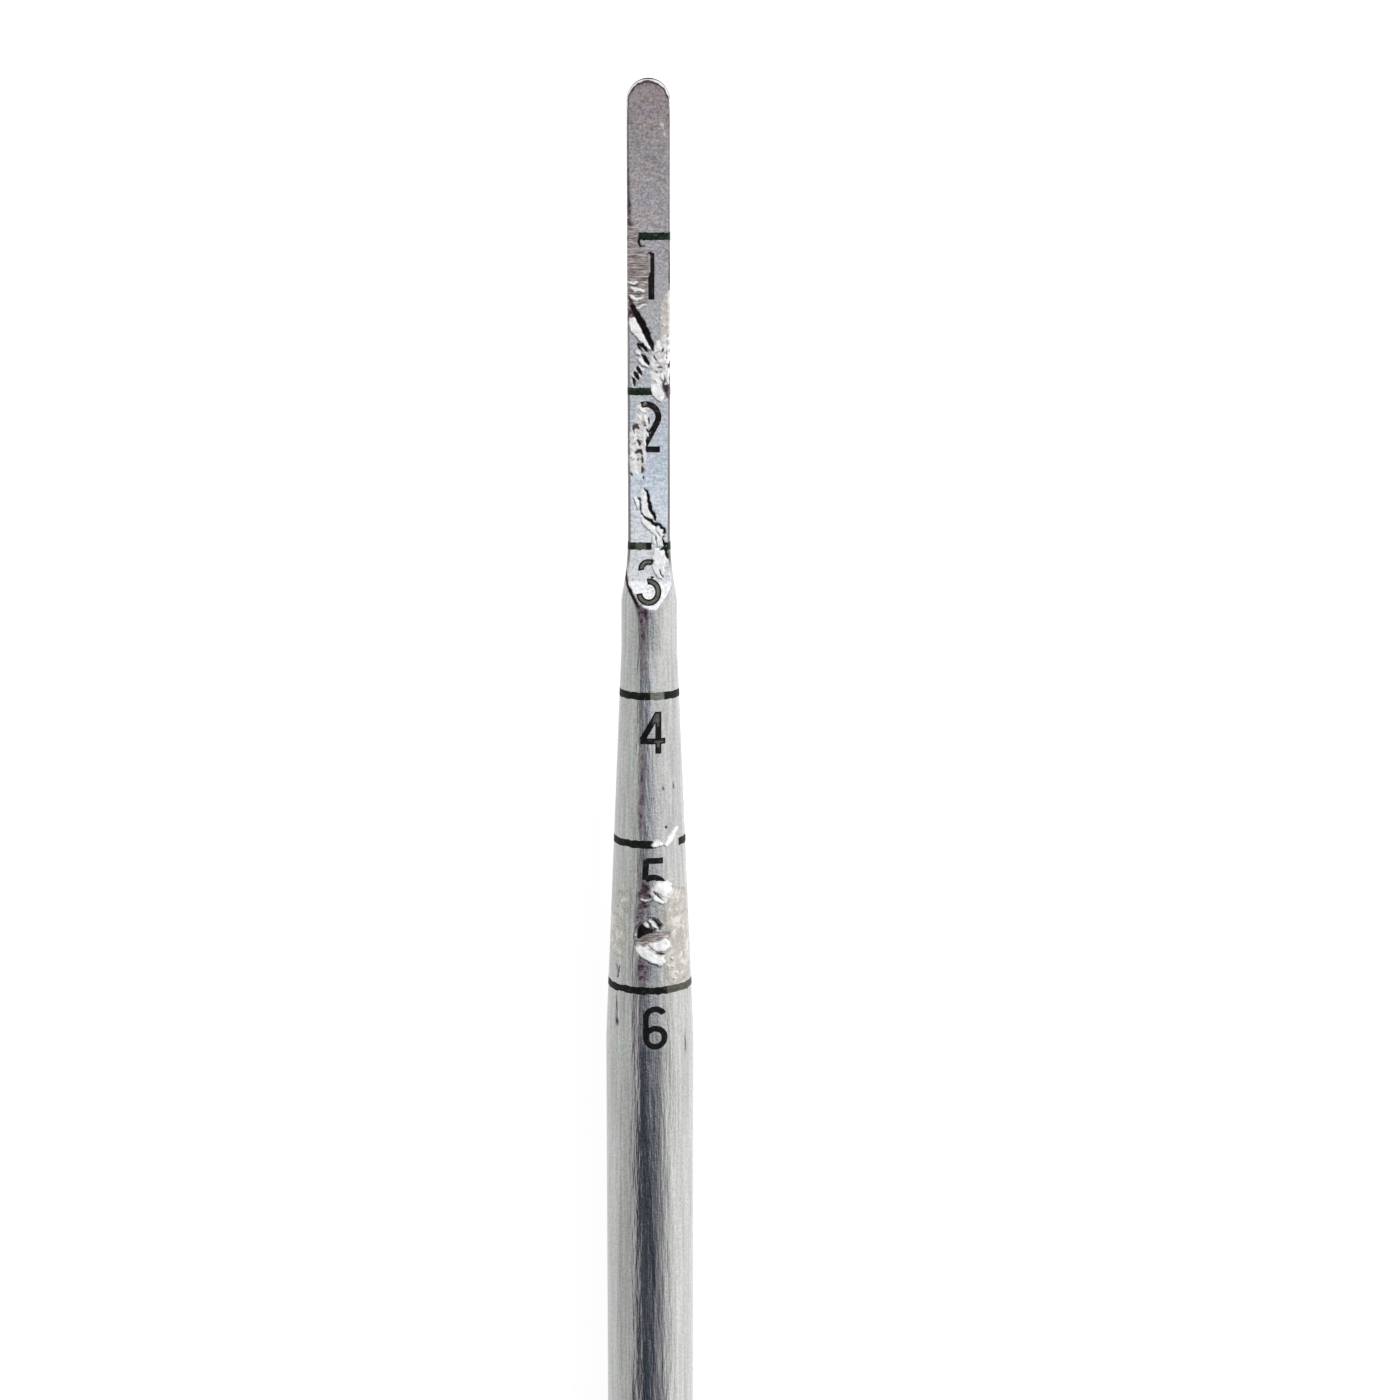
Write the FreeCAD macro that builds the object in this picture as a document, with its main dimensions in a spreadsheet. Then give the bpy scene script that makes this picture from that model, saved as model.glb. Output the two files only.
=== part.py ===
import FreeCAD, Part
import math
import os

import Sketcher

# A graduated, flat-bladed dental probe lying on its handle, in millimetres.
#
# The tool's axis runs along Y and its tip points to +Y. The numbered flat of the blade faces +Z.
# The origin is the middle of the bounding box, on the table that the handle rests on.
# Lengths along the tool are "stations": the distance from the tip, measured towards the handle.

# Every driving dimension, as the spreadsheet holds it.
DIMENSIONS = {
    # The whole tool
    "overall_length": 190.0,
    # The turned steel rod: round-nosed blade, flare, neck, cone and plain shank
    "blade_radius": 1.40,
    "flare_start": 29.5,
    "flare_end": 33.7,
    "neck_radius": 1.86,
    "cone_start": 37.0,
    "cone_end": 64.0,
    "shank_radius": 3.0,
    "shank_end": 95.0,
    "tang_radius": 2.2,
    "tang_length": 22.0,
    # The two milled flats that make the blade, and the ramp where the cutter ran out
    "tip_half_thickness": 0.50,
    "root_half_thickness": 0.70,
    "ramp_start": 32.3,
    "ramp_end": 33.75,
    "ramp_rise": 1.20,
    # The scale: one band for each centimetre, and a numeral under each band
    "scale_pitch": 10.0,
    "band_width": 0.50,
    "mark_depth": 0.05,
    "numeral_stroke": 0.40,
    # The nose piece between the rod and the handle
    "nose_front_radius": 3.5,
    "nose_back_radius": 4.6,
    "nose_taper_length": 6.0,
    "nose_collar_length": 2.0,
    "spigot_radius": 3.5,
    "nose_spigot_length": 14.0,
    # The pin through the nose piece and the rod's tang
    "pin_radius": 0.75,
    "pin_length": 6.8,
    "pin_station": 110.0,
    # The eight-sided hollow handle and its grip rings
    "handle_across_flats": 9.5,
    "handle_end_chamfer": 0.7,
    "grip_ring_radius": 4.4,
    "grip_ring_width": 0.8,
    "grip_ring_pitch": 2.4,
    "grip_ring_setback": 6.0,
    "grip_ring_count": 9,
    # The plug that closes the handle's far end
    "plug_head_length": 6.0,
    "plug_rim_length": 1.5,
    "plug_end_radius": 2.6,
    "plug_spigot_length": 8.0,
}

# The scale's numerals: distance from the band's middle to the numeral's top, its height, and how far
# it stands off the tool's axis. The engraver placed each of them a little differently.
NUMERALS = {
    1: {"gap": 1.07, "height": 3.00, "offset": 0.00},
    2: {"gap": 0.65, "height": 3.40, "offset": 0.03},
    3: {"gap": 0.92, "height": 2.96, "offset": 0.00},
    4: {"gap": 1.03, "height": 2.82, "offset": 0.20},
    5: {"gap": 0.89, "height": 3.00, "offset": 0.28},
    6: {"gap": 1.08, "height": 3.00, "offset": 0.33},
}

# Centrelines of the numerals' strokes, on a cell one unit high whose foot is at the origin.
# A bar is its two ends; an arc is its centre, radius, first angle and last angle in degrees.
GLYPHS = {
    1: [("bar", (0.06, 0.0), (0.06, 1.0)), ("bar", (0.06, 0.94), (-0.15, 0.81))],
    2: [
        ("arc", (-0.065, 0.69), 0.24, -22, 118),
        ("bar", (0.158, 0.60), (-0.125, 0.07)),
        ("bar", (-0.185, 0.062), (0.205, 0.062)),
    ],
    3: [
        ("arc", (-0.015, 0.772), 0.160, -75, 190),
        ("arc", (-0.005, 0.283), 0.212, -172, 100),
    ],
    4: [
        ("bar", (0.130, 0.0), (0.130, 1.0)),
        ("bar", (-0.295, 0.30), (0.295, 0.30)),
        ("bar", (0.115, 0.96), (-0.255, 0.32)),
    ],
    5: [
        ("bar", (-0.17, 0.933), (0.215, 0.933)),
        ("bar", (-0.155, 0.96), (-0.185, 0.50)),
        ("arc", (-0.005, 0.312), 0.245, -140, 134),
    ],
    6: [
        ("arc", (0.0, 0.277), 0.210, 0, 360),
        ("bar", (-0.210, 0.277), (-0.210, 0.723)),
        ("arc", (0.0, 0.723), 0.210, 28, 180),
    ],
}

OUTPUT_FOLDER = "parts"
SHEET_NAME = "dims"
CUT_MARGIN = 2.0  # how far a cutting profile reaches past the metal it removes


class Size:
    """A length that is both a spreadsheet expression and its present value."""

    def __init__(self, text, value):
        self.text = text
        self.value = value

    def combine(self, sign, other, result):
        return Size("({} {} {})".format(self.text, sign, size_of(other).text), result)

    def __add__(self, other):
        return self.combine("+", other, self.value + size_of(other).value)

    def __sub__(self, other):
        return self.combine("-", other, self.value - size_of(other).value)

    def __mul__(self, other):
        return self.combine("*", other, self.value * size_of(other).value)

    def __truediv__(self, other):
        return self.combine("/", other, self.value / size_of(other).value)

    def __neg__(self):
        return size_of(0.0) - self


def size_of(thing):
    """A plain number as a Size; a Size stays as it is."""
    if isinstance(thing, Size):
        return thing
    return Size(repr(float(thing)), float(thing))


def dim(name):
    """A driving dimension from the spreadsheet."""
    return Size("{}.{}".format(SHEET_NAME, name), DIMENSIONS[name])


def station(distance):
    """The Y coordinate of a place that is this far from the tip."""
    return dim("overall_length") / 2 - distance


def bind(item, prop, size):
    """Drive a property, or one coordinate of a placement, from the spreadsheet."""
    item.setExpression(prop, size_of(size).text)


def make_sheet(doc):
    sheet = doc.addObject("Spreadsheet::Sheet", SHEET_NAME)
    for row, (name, value) in enumerate(DIMENSIONS.items(), start=1):
        sheet.set("A{}".format(row), name)
        sheet.set("B{}".format(row), str(value))
        sheet.setAlias("B{}".format(row), name)
    doc.recompute()
    return sheet


def make_body(doc, label):
    body = doc.addObject("PartDesign::Body", label)
    body.Label = label
    return body


def origin_feature(body, role):
    return next(f for f in body.Origin.OriginFeatures if f.Role == role)


def vector(point):
    return FreeCAD.Vector(size_of(point[0]).value, size_of(point[1]).value, 0)


def add_arc(sketch, start, end, radius, centre_on_left):
    """Add a round stretch from start to end. Its centre is on its left hand, or else on its right."""
    first, last = vector(start), vector(end)
    chord = last - first
    height = math.sqrt(max(radius.value**2 - (chord.Length / 2) ** 2, 0.0))
    left = FreeCAD.Vector(-chord.y, chord.x, 0) / chord.Length
    centre = (first + last) / 2 + left * (height if centre_on_left else -height)
    circle = Part.Circle(centre, FreeCAD.Vector(0, 0, 1), radius.value)
    if centre_on_left:
        low, high = circle.parameter(first), circle.parameter(last)
    else:
        low, high = circle.parameter(last), circle.parameter(first)
    index = sketch.addGeometry(Part.ArcOfCircle(circle, low, high), False)
    name = "radius_{}".format(index)
    sketch.addConstraint(Sketcher.Constraint("Radius", index, radius.value))
    sketch.renameConstraint(sketch.ConstraintCount - 1, name)
    bind(sketch, "Constraints." + name, radius)
    return (index, 1, 2) if centre_on_left else (index, 2, 1)


def make_outline(body, name, plane, corners):
    """Sketch a closed outline. A corner is (x, y), or (x, y, radius, centre_on_left) where a round
    stretch leaves it for the next corner. Every coordinate is driven from the spreadsheet."""
    sketch = body.newObject("Sketcher::SketchObject", name)
    sketch.AttachmentSupport = (origin_feature(body, plane), [""])
    sketch.MapMode = "FlatFace"
    edges = []
    for number, corner in enumerate(corners):
        following = corners[(number + 1) % len(corners)]
        if len(corner) == 4:
            edges.append(add_arc(sketch, corner, following, corner[2], corner[3]))
        else:
            line = Part.LineSegment(vector(corner), vector(following))
            edges.append((sketch.addGeometry(line, False), 1, 2))
    for number, (edge, start, end) in enumerate(edges):
        after, after_start, _ = edges[(number + 1) % len(edges)]
        sketch.addConstraint(Sketcher.Constraint("Coincident", edge, end, after, after_start))
        for axis, coordinate in zip("XY", corners[number]):
            pin_coordinate(sketch, axis, edge, start, size_of(coordinate))
    return sketch


def pin_coordinate(sketch, axis, edge, point, size):
    """Fix one coordinate of an edge's end, from the sketch's origin."""
    name = "{}_{}".format(axis.lower(), edge)
    kind = "Distance" + axis
    sketch.addConstraint(Sketcher.Constraint(kind, -1, 1, edge, point, size.value))
    sketch.renameConstraint(sketch.ConstraintCount - 1, name)
    bind(sketch, "Constraints." + name, size)


def revolve(body, sketch, kind="Revolution"):
    """Turn a profile about the tool's axis."""
    feature = body.newObject("PartDesign::" + kind, kind)
    feature.Profile = sketch
    feature.ReferenceAxis = (origin_feature(body, "Y_Axis"), [""])
    feature.Angle = 360
    sketch.Visibility = False
    return feature


def cut_through(body, sketch):
    """Cut a profile right through the body, both ways."""
    pocket = body.newObject("PartDesign::Pocket", "Pocket")
    pocket.Profile = sketch
    pocket.Type = "ThroughAll"
    pocket.Midplane = True
    return pocket


def lift_to_axis(item):
    """Raise a piece made about the origin, so that the handle rests on the table."""
    bind(item, "Placement.Base.z", dim("handle_across_flats") / 2)


def flare_radius():
    """The hollow arc that starts along the blade's side and ends on the neck."""
    run = dim("flare_end") - dim("flare_start")
    rise = dim("neck_radius") - dim("blade_radius")
    return (run * run + rise * rise) / (rise * 2)


def rod_profile(inset):
    """Half of the turned rod, from the tip to the end of its tang. It is drawn below the axis, which
    keeps the seam of the turned surface away from the numerals."""
    blade = dim("blade_radius") - inset
    neck = dim("neck_radius") - inset
    shank = dim("shank_radius") - inset
    tang_end = station(dim("shank_end") + dim("tang_length"))
    return [
        (station(0) - inset, 0, blade, False),
        (station(dim("blade_radius")), -blade),
        (station(dim("flare_start")), -blade, flare_radius(), True),
        (station(dim("flare_end")), -neck),
        (station(dim("cone_start")), -neck),
        (station(dim("cone_end")), -shank),
        (station(dim("shank_end")), -shank),
        (station(dim("shank_end")), -dim("tang_radius")),
        (tang_end, -dim("tang_radius")),
        (tang_end, 0),
    ]


def flat_profile(inset):
    """The metal that the milling cutter takes off above the blade."""
    ramp_top = dim("root_half_thickness") + dim("ramp_rise") - inset
    above = dim("neck_radius") + CUT_MARGIN
    past_tip = station(-CUT_MARGIN)
    return [
        (past_tip, dim("tip_half_thickness") - inset),
        (station(dim("ramp_start")), dim("root_half_thickness") - inset),
        (station(dim("ramp_end")), ramp_top),
        (station(dim("ramp_end")), above),
        (past_tip, above),
    ]


def make_blank(doc, label, inset):
    """The steel rod with its skin taken off to a depth of inset all over, still without its scale."""
    body = make_body(doc, label)
    revolve(body, make_outline(body, "turned_profile", "YZ_Plane", rod_profile(inset)))
    upper = cut_through(body, make_outline(body, "milled_flat", "YZ_Plane", flat_profile(inset)))
    lower = body.newObject("PartDesign::Mirrored", "lower_flat")
    lower.Originals = [upper]
    lower.MirrorPlane = (origin_feature(body, "XY_Plane"), [""])
    body.Tip = lower
    hole = body.newObject("Sketcher::SketchObject", "pin_hole")
    hole.AttachmentSupport = (origin_feature(body, "XY_Plane"), [""])
    hole.MapMode = "FlatFace"
    add_circle(hole, station(dim("pin_station")), dim("pin_radius"))
    cut_through(body, hole)
    lift_to_axis(body)
    return body


def add_circle(sketch, along, radius):
    """A circle on the tool's axis, at the Y coordinate along."""
    centre = FreeCAD.Vector(0, along.value, 0)
    circle = sketch.addGeometry(Part.Circle(centre, FreeCAD.Vector(0, 0, 1), radius.value), False)
    sketch.addConstraint(Sketcher.Constraint("PointOnObject", circle, 3, -2))
    sketch.addConstraint(Sketcher.Constraint("Radius", circle, radius.value))
    sketch.renameConstraint(sketch.ConstraintCount - 1, "hole_radius")
    bind(sketch, "Constraints.hole_radius", radius)
    pin_coordinate(sketch, "Y", circle, 3, along)


def make_boolean(doc, kind, label, base, tool):
    feature = doc.addObject("Part::" + kind, label)
    feature.Label = label
    feature.Base = base
    feature.Tool = tool
    return feature


def make_band(doc, number, skin):
    """A dark ring around the rod, let into the steel at a whole number of centimetres."""
    slab = doc.addObject("Part::Box", "band_slab_{}".format(number))
    reach = dim("shank_radius") + CUT_MARGIN
    bind(slab, "Length", reach * 2)
    bind(slab, "Width", dim("band_width"))
    bind(slab, "Height", reach * 2)
    bind(slab, "Placement.Base.x", -reach)
    middle = station(dim("scale_pitch") * number)
    bind(slab, "Placement.Base.y", middle - dim("band_width") / 2)
    bind(slab, "Placement.Base.z", dim("handle_across_flats") / 2 - reach)
    return make_boolean(doc, "Common", "band_{}".format(number), skin, slab)


def stroke_bar(first, last, width):
    """A straight stroke with square ends."""
    run = last - first
    side = FreeCAD.Vector(-run.y, run.x, 0).normalize() * (width / 2)
    corners = [first + side, first - side, last - side, last + side]
    return Part.Face(Part.makePolygon(corners + corners[:1]))


def stroke_arc(centre, radius, low, high, width):
    """A round stroke with square ends, or a whole ring."""
    up = FreeCAD.Vector(0, 0, 1)
    outer, inner = radius + width / 2, radius - width / 2
    if high - low >= 360:
        disc = Part.Face(Part.Wire(Part.Circle(centre, up, outer).toShape()))
        return disc.cut(Part.Face(Part.Wire(Part.Circle(centre, up, inner).toShape())))
    angles = math.radians(low), math.radians(high)
    outside = Part.ArcOfCircle(Part.Circle(centre, up, outer), *angles)
    inside = Part.ArcOfCircle(Part.Circle(centre, up, inner), *angles)
    ends = [
        Part.LineSegment(outside.StartPoint, inside.StartPoint),
        Part.LineSegment(outside.EndPoint, inside.EndPoint),
    ]
    edges = [piece.toShape() for piece in (outside, ends[1], inside, ends[0])]
    return Part.Face(Part.Wire(Part.__sortEdges__(edges)))


def glyph_prism(number, height, stroke, reach):
    """A numeral, standing up as a prism that runs past the rod's surface."""
    up = FreeCAD.Vector(0, 0, reach)
    prisms = []
    for kind, *numbers in GLYPHS[number]:
        place = FreeCAD.Vector(*numbers[0], 0) * height
        if kind == "bar":
            face = stroke_bar(place, FreeCAD.Vector(*numbers[1], 0) * height, stroke)
        else:
            radius, low, high = numbers[1:]
            face = stroke_arc(place, radius * height, low, high, stroke)
        prisms.append(face.extrude(up))
    return prisms[0].multiFuse(prisms[1:]).removeSplitter()


def make_numeral(doc, sheet, number, skin):
    """The number of centimetres, let into the upper face below its band."""
    style = NUMERALS[number]
    prism = doc.addObject("Part::Feature", "numeral_prism_{}".format(number))
    reach = sheet.shank_radius + CUT_MARGIN
    prism.Shape = glyph_prism(number, style["height"], sheet.numeral_stroke, reach)
    foot = station(dim("scale_pitch") * number + style["gap"] + style["height"])
    prism.Placement.Base = FreeCAD.Vector(style["offset"], 0, sheet.handle_across_flats / 2)
    bind(prism, "Placement.Base.y", foot)
    bind(prism, "Placement.Base.z", dim("handle_across_flats") / 2)
    return make_boolean(doc, "Common", "numeral_{}".format(number), skin, prism)


def make_rod_and_scale(doc, sheet):
    """The steel rod, and the dark bands and numerals that fill its engraved scale flush."""
    blank = make_blank(doc, "rod_blank", size_of(0.0))
    floor = make_blank(doc, "scale_floor", dim("mark_depth"))
    skin = make_boolean(doc, "Cut", "rod_skin", blank, floor)
    marks = []
    for number in NUMERALS:
        marks.append(make_band(doc, number, skin))
        marks.append(make_numeral(doc, sheet, number, skin))
    scale = doc.addObject("Part::MultiFuse", "scale_marks")
    scale.Shapes = marks
    rod = make_boolean(doc, "Cut", "probe_rod", blank, scale)
    return [rod] + marks


def nose_back():
    """Where the nose piece's collar meets the handle, as a station."""
    return dim("shank_end") + dim("nose_taper_length") + dim("nose_collar_length")


def make_nose_piece(doc):
    """The tapered ferrule: the rod's tang is pressed into it and it is pressed into the handle."""
    body = make_body(doc, "nose_piece")
    front = station(dim("shank_end"))
    collar = station(nose_back())
    back = station(nose_back() + dim("nose_spigot_length"))
    corners = [
        (front, dim("tang_radius")),
        (front, dim("nose_front_radius")),
        (station(dim("shank_end") + dim("nose_taper_length")), dim("nose_back_radius")),
        (collar, dim("nose_back_radius")),
        (collar, dim("spigot_radius")),
        (back, dim("spigot_radius")),
        (back, dim("tang_radius")),
    ]
    revolve(body, make_outline(body, "turned_profile", "YZ_Plane", corners))
    hole = body.newObject("Sketcher::SketchObject", "pin_hole")
    hole.AttachmentSupport = (origin_feature(body, "XY_Plane"), [""])
    hole.MapMode = "FlatFace"
    add_circle(hole, station(dim("pin_station")), dim("pin_radius"))
    cut_through(body, hole)
    lift_to_axis(body)
    return body


def make_cross_pin(doc):
    """The pin that keeps the tang from turning or pulling out, hidden inside the handle."""
    pin = doc.addObject("Part::Cylinder", "cross_pin")
    pin.Label = "cross_pin"
    bind(pin, "Radius", dim("pin_radius"))
    bind(pin, "Height", dim("pin_length"))
    bind(pin, "Placement.Base.y", station(dim("pin_station")))
    bind(pin, "Placement.Base.z", dim("handle_across_flats") / 2 - dim("pin_length") / 2)
    return pin


def octagon_corners():
    """An eight-sided section with a flat at the bottom, on which the tool rests."""
    half = dim("handle_across_flats") / 2
    short = half * math.tan(math.radians(22.5))
    ring = [(half, short), (short, half), (-short, half), (-half, short)]
    return ring + [(-x, -y) for x, y in ring]


def handle_length():
    return dim("overall_length") - nose_back() - dim("plug_head_length")


def make_handle(doc):
    """The hollow eight-sided handle with turned end chamfers and a band of grip rings."""
    body = make_body(doc, "handle_tube")
    section = make_outline(body, "section", "XZ_Plane", octagon_corners())
    bind(section, "AttachmentOffset.Base.z", -station(nose_back()))
    tube = body.newObject("PartDesign::Pad", "tube")
    tube.Profile = section
    bind(tube, "Length", handle_length())
    doc.recompute()

    front, back = station(nose_back()), station(nose_back() + handle_length())
    bore = [
        (front + CUT_MARGIN, 0),
        (front + CUT_MARGIN, dim("spigot_radius")),
        (back - CUT_MARGIN, dim("spigot_radius")),
        (back - CUT_MARGIN, 0),
    ]
    revolve(body, make_outline(body, "bore", "YZ_Plane", bore), "Groove")
    rim, chamfer = dim("nose_back_radius"), dim("handle_end_chamfer")
    outside = dim("handle_across_flats") / 2 + CUT_MARGIN
    chamfer_top = rim + chamfer
    for name, end, inward in (("front_chamfer", front, -chamfer), ("back_chamfer", back, chamfer)):
        corners = [(end, rim), (end + inward, chamfer_top), (end + inward, outside), (end, outside)]
        revolve(body, make_outline(body, name, "YZ_Plane", corners), "Groove")
    first = front - dim("grip_ring_setback")
    slot = [
        (first, dim("grip_ring_radius")),
        (first - dim("grip_ring_width"), dim("grip_ring_radius")),
        (first - dim("grip_ring_width"), outside),
        (first, outside),
    ]
    ring = revolve(body, make_outline(body, "grip_ring", "YZ_Plane", slot), "Groove")
    rings = body.newObject("PartDesign::LinearPattern", "grip_rings")
    rings.Originals = [ring]
    rings.Direction = (origin_feature(body, "Y_Axis"), [""])
    rings.Reversed = True
    bind(rings, "Length", dim("grip_ring_pitch") * (dim("grip_ring_count") - 1))
    bind(rings, "Occurrences", dim("grip_ring_count"))
    body.Tip = rings
    lift_to_axis(body)
    return body


def make_end_plug(doc):
    """The rounded plug that closes the handle."""
    body = make_body(doc, "end_plug")
    shoulder = station(dim("overall_length") - dim("plug_head_length"))
    rim = station(dim("overall_length") - dim("plug_head_length") + dim("plug_rim_length"))
    end = station(dim("overall_length"))
    dome = dim("plug_head_length") - dim("plug_rim_length")
    inner_end = shoulder + dim("plug_spigot_length")
    corners = [
        (inner_end, 0),
        (inner_end, dim("spigot_radius")),
        (shoulder, dim("spigot_radius")),
        (shoulder, dim("nose_back_radius")),
        (rim, dim("nose_back_radius"), dome, True),
        (end, dim("plug_end_radius")),
        (end, 0),
    ]
    revolve(body, make_outline(body, "turned_profile", "YZ_Plane", corners))
    lift_to_axis(body)
    return body


def check_document(doc):
    """Stop if any object failed to compute."""
    for item in doc.Objects:
        if "Invalid" in item.State or "Error" in item.State:
            raise RuntimeError("{} failed: {}".format(item.Label, item.State))


def export_pieces(pieces):
    """Write each piece to a file of its own, once all of them are sound."""
    for piece in pieces:
        if piece.Shape.isNull() or not piece.Shape.isValid():
            raise RuntimeError("{} has no sound shape".format(piece.Label))
    os.makedirs(OUTPUT_FOLDER, exist_ok=True)
    for piece in pieces:
        piece.Shape.exportStep(os.path.join(OUTPUT_FOLDER, piece.Label + ".step"))
        box = piece.Shape.BoundBox
        report = "{:12s} solids {} volume {:9.3f}  y {:8.2f} to {:8.2f}  z {:6.2f} to {:6.2f}"
        solids, volume = len(piece.Shape.Solids), piece.Shape.Volume
        print(report.format(piece.Label, solids, volume, box.YMin, box.YMax, box.ZMin, box.ZMax))


def main():
    doc = FreeCAD.newDocument("graduated_probe")
    sheet = make_sheet(doc)
    pieces = make_rod_and_scale(doc, sheet)
    pieces.append(make_nose_piece(doc))
    pieces.append(make_cross_pin(doc))
    pieces.append(make_handle(doc))
    pieces.append(make_end_plug(doc))
    doc.recompute()
    check_document(doc)
    export_pieces(pieces)


main()
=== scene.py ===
import math

import bmesh
import bpy
import numpy as np
from mathutils import Matrix, Vector


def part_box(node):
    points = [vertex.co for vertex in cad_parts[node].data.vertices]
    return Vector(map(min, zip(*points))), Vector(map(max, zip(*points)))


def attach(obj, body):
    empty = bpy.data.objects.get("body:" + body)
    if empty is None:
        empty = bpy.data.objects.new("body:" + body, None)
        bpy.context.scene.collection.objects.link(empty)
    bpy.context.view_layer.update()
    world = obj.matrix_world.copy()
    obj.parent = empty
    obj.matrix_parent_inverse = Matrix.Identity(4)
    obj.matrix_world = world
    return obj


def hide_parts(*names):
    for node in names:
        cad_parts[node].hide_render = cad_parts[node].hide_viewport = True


# A worn, graduated steel probe. Shapes are worked out in millimetres and written in metres.
# "Station" is the distance from the probe's tip along the tool, "offset" the distance to the right
# of its axis, and "angle" goes round the axis from straight up towards the right.

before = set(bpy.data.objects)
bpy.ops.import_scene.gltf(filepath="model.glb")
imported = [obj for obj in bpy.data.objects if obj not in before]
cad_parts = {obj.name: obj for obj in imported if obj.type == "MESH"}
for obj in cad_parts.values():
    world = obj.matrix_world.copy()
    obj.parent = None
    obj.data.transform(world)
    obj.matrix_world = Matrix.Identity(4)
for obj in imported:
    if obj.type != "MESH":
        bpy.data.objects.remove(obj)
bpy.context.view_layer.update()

MM = 0.001
BODY = "root"

# ---------- sizes taken from the frame


def box_mm(node):
    low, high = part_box(node)
    return np.array(low) / MM, np.array(high) / MM


ROD_LOW, ROD_HIGH = box_mm("probe_rod")
HANDLE_LOW, HANDLE_HIGH = box_mm("handle_tube")
NOSE_LOW, NOSE_HIGH = box_mm("nose_piece")
PLUG_LOW, PLUG_HIGH = box_mm("end_plug")
TIP = ROD_HIGH[1]
AXIS_HEIGHT = (HANDLE_LOW[2] + HANDLE_HIGH[2]) / 2
SHANK_RADIUS = (ROD_HIGH[0] - ROD_LOW[0]) / 2
SHANK_END = TIP - NOSE_HIGH[1]
TANG_END = TIP - ROD_LOW[1]
BAND_STATIONS = [TIP - sum(end[1] for end in box_mm("band_%d" % n)) / 2 for n in range(1, 7)]
BAND_WIDTH = box_mm("band_1")[1][1] - box_mm("band_1")[0][1]

# The rod's own shape, as the CAD rod has it
BLADE_RADIUS = 1.40
FLARE_START, FLARE_END = 29.5, 33.7
NECK_RADIUS = 1.86
CONE_START, CONE_END = 37.0, 64.0
TANG_RADIUS = 2.2
# Station and half thickness of the blade, up to the end of its ramp
FLAT_PROFILE = [(0.0, 0.50), (32.5, 0.70), (32.68, 0.74), (32.95, 1.00), (33.15, 1.20), (33.5, 1.52),
                (33.95, 1.73), (34.2, 1.80), (34.6, 2.0)]
RAMP_END = 34.2

MARK_THICKNESS = 0.045
MARK_RISE = 0.008  # how far a mark stands above bare steel

# ---------- noise and small maths


def smoothstep(low, high, value):
    t = np.clip((value - low) / (high - low), 0.0, 1.0)
    return t * t * (3.0 - 2.0 * t)


def smooth_min(a, b, width):
    blend = np.maximum(width - np.abs(a - b), 0.0) / width
    return np.minimum(a, b) - blend * blend * width / 4.0


class Noise:
    """Smooth random hills, one unit apart, from -1 to 1."""

    SIZE = 256

    def __init__(self, seed):
        self.table = np.random.default_rng(seed).uniform(-1.0, 1.0, (self.SIZE, self.SIZE))

    def __call__(self, u, v):
        column, row = np.floor(u).astype(int), np.floor(v).astype(int)
        fu, fv = u - column, v - row
        fu, fv = fu * fu * (3 - 2 * fu), fv * fv * (3 - 2 * fv)
        pick = lambda i, j: self.table[(row + j) % self.SIZE, (column + i) % self.SIZE]
        low = pick(0, 0) * (1 - fu) + pick(1, 0) * fu
        high = pick(0, 1) * (1 - fu) + pick(1, 1) * fu
        return low * (1 - fv) + high * fv

    def rough(self, u, v, octaves):
        total = 0.0
        for octave in range(octaves):
            total = total + self(u * 2**octave + 17 * octave, v * 2**octave) / 2**octave
        return total


# ---------- the rod's surface


def turned_radius_raw(station):
    nose = np.sqrt(np.clip(BLADE_RADIUS**2 - (BLADE_RADIUS - station) ** 2, 0, None))
    radius = np.where(station < BLADE_RADIUS, nose, BLADE_RADIUS)
    run, rise = FLARE_END - FLARE_START, NECK_RADIUS - BLADE_RADIUS
    bend = (run**2 + rise**2) / (2 * rise)
    along = np.clip(station - FLARE_START, 0, run)
    radius = radius + bend - np.sqrt(bend**2 - along**2)
    return radius + np.interp(station, [CONE_START, CONE_END], [0, SHANK_RADIUS - NECK_RADIUS])


TABLE_STEP = 0.02
STATION_TABLE = np.arange(0.0, SHANK_END + 2, TABLE_STEP)


def rounded(values, reach):
    """The same curve with its corners rounded over a length of reach."""
    count = int(reach / TABLE_STEP)
    window = np.hanning(count + 2)[1:-1]
    padded = np.pad(values, count, "edge")
    return np.convolve(padded, window / window.sum(), "same")[count:-count]


RADIUS_TABLE = turned_radius_raw(STATION_TABLE)
RADIUS_TABLE = np.where(STATION_TABLE < 3.0, RADIUS_TABLE, rounded(RADIUS_TABLE, 1.2))
FLAT_TABLE = rounded(np.interp(STATION_TABLE, *zip(*FLAT_PROFILE)), 0.25)


def turned_radius(station):
    table = np.interp(station, STATION_TABLE, RADIUS_TABLE)
    return np.where(station < 1.0, turned_radius_raw(station), table)


def flat_height(station):
    """Half of the blade's thickness; past the ramp it is more than the rod's radius."""
    return np.interp(station, STATION_TABLE, FLAT_TABLE) + np.clip(station - RAMP_END, 0, None) * 5


def edge_rounding(station):
    return np.interp(station, [0.0, 1.0, 2.0], [0.20, 0.12, 0.05])


def section_radius(station, angle):
    """Distance from the axis to the bare surface."""
    flat = flat_height(station) / np.maximum(np.abs(np.cos(angle)), 1e-3)
    return smooth_min(turned_radius(station), flat, edge_rounding(station))


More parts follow.
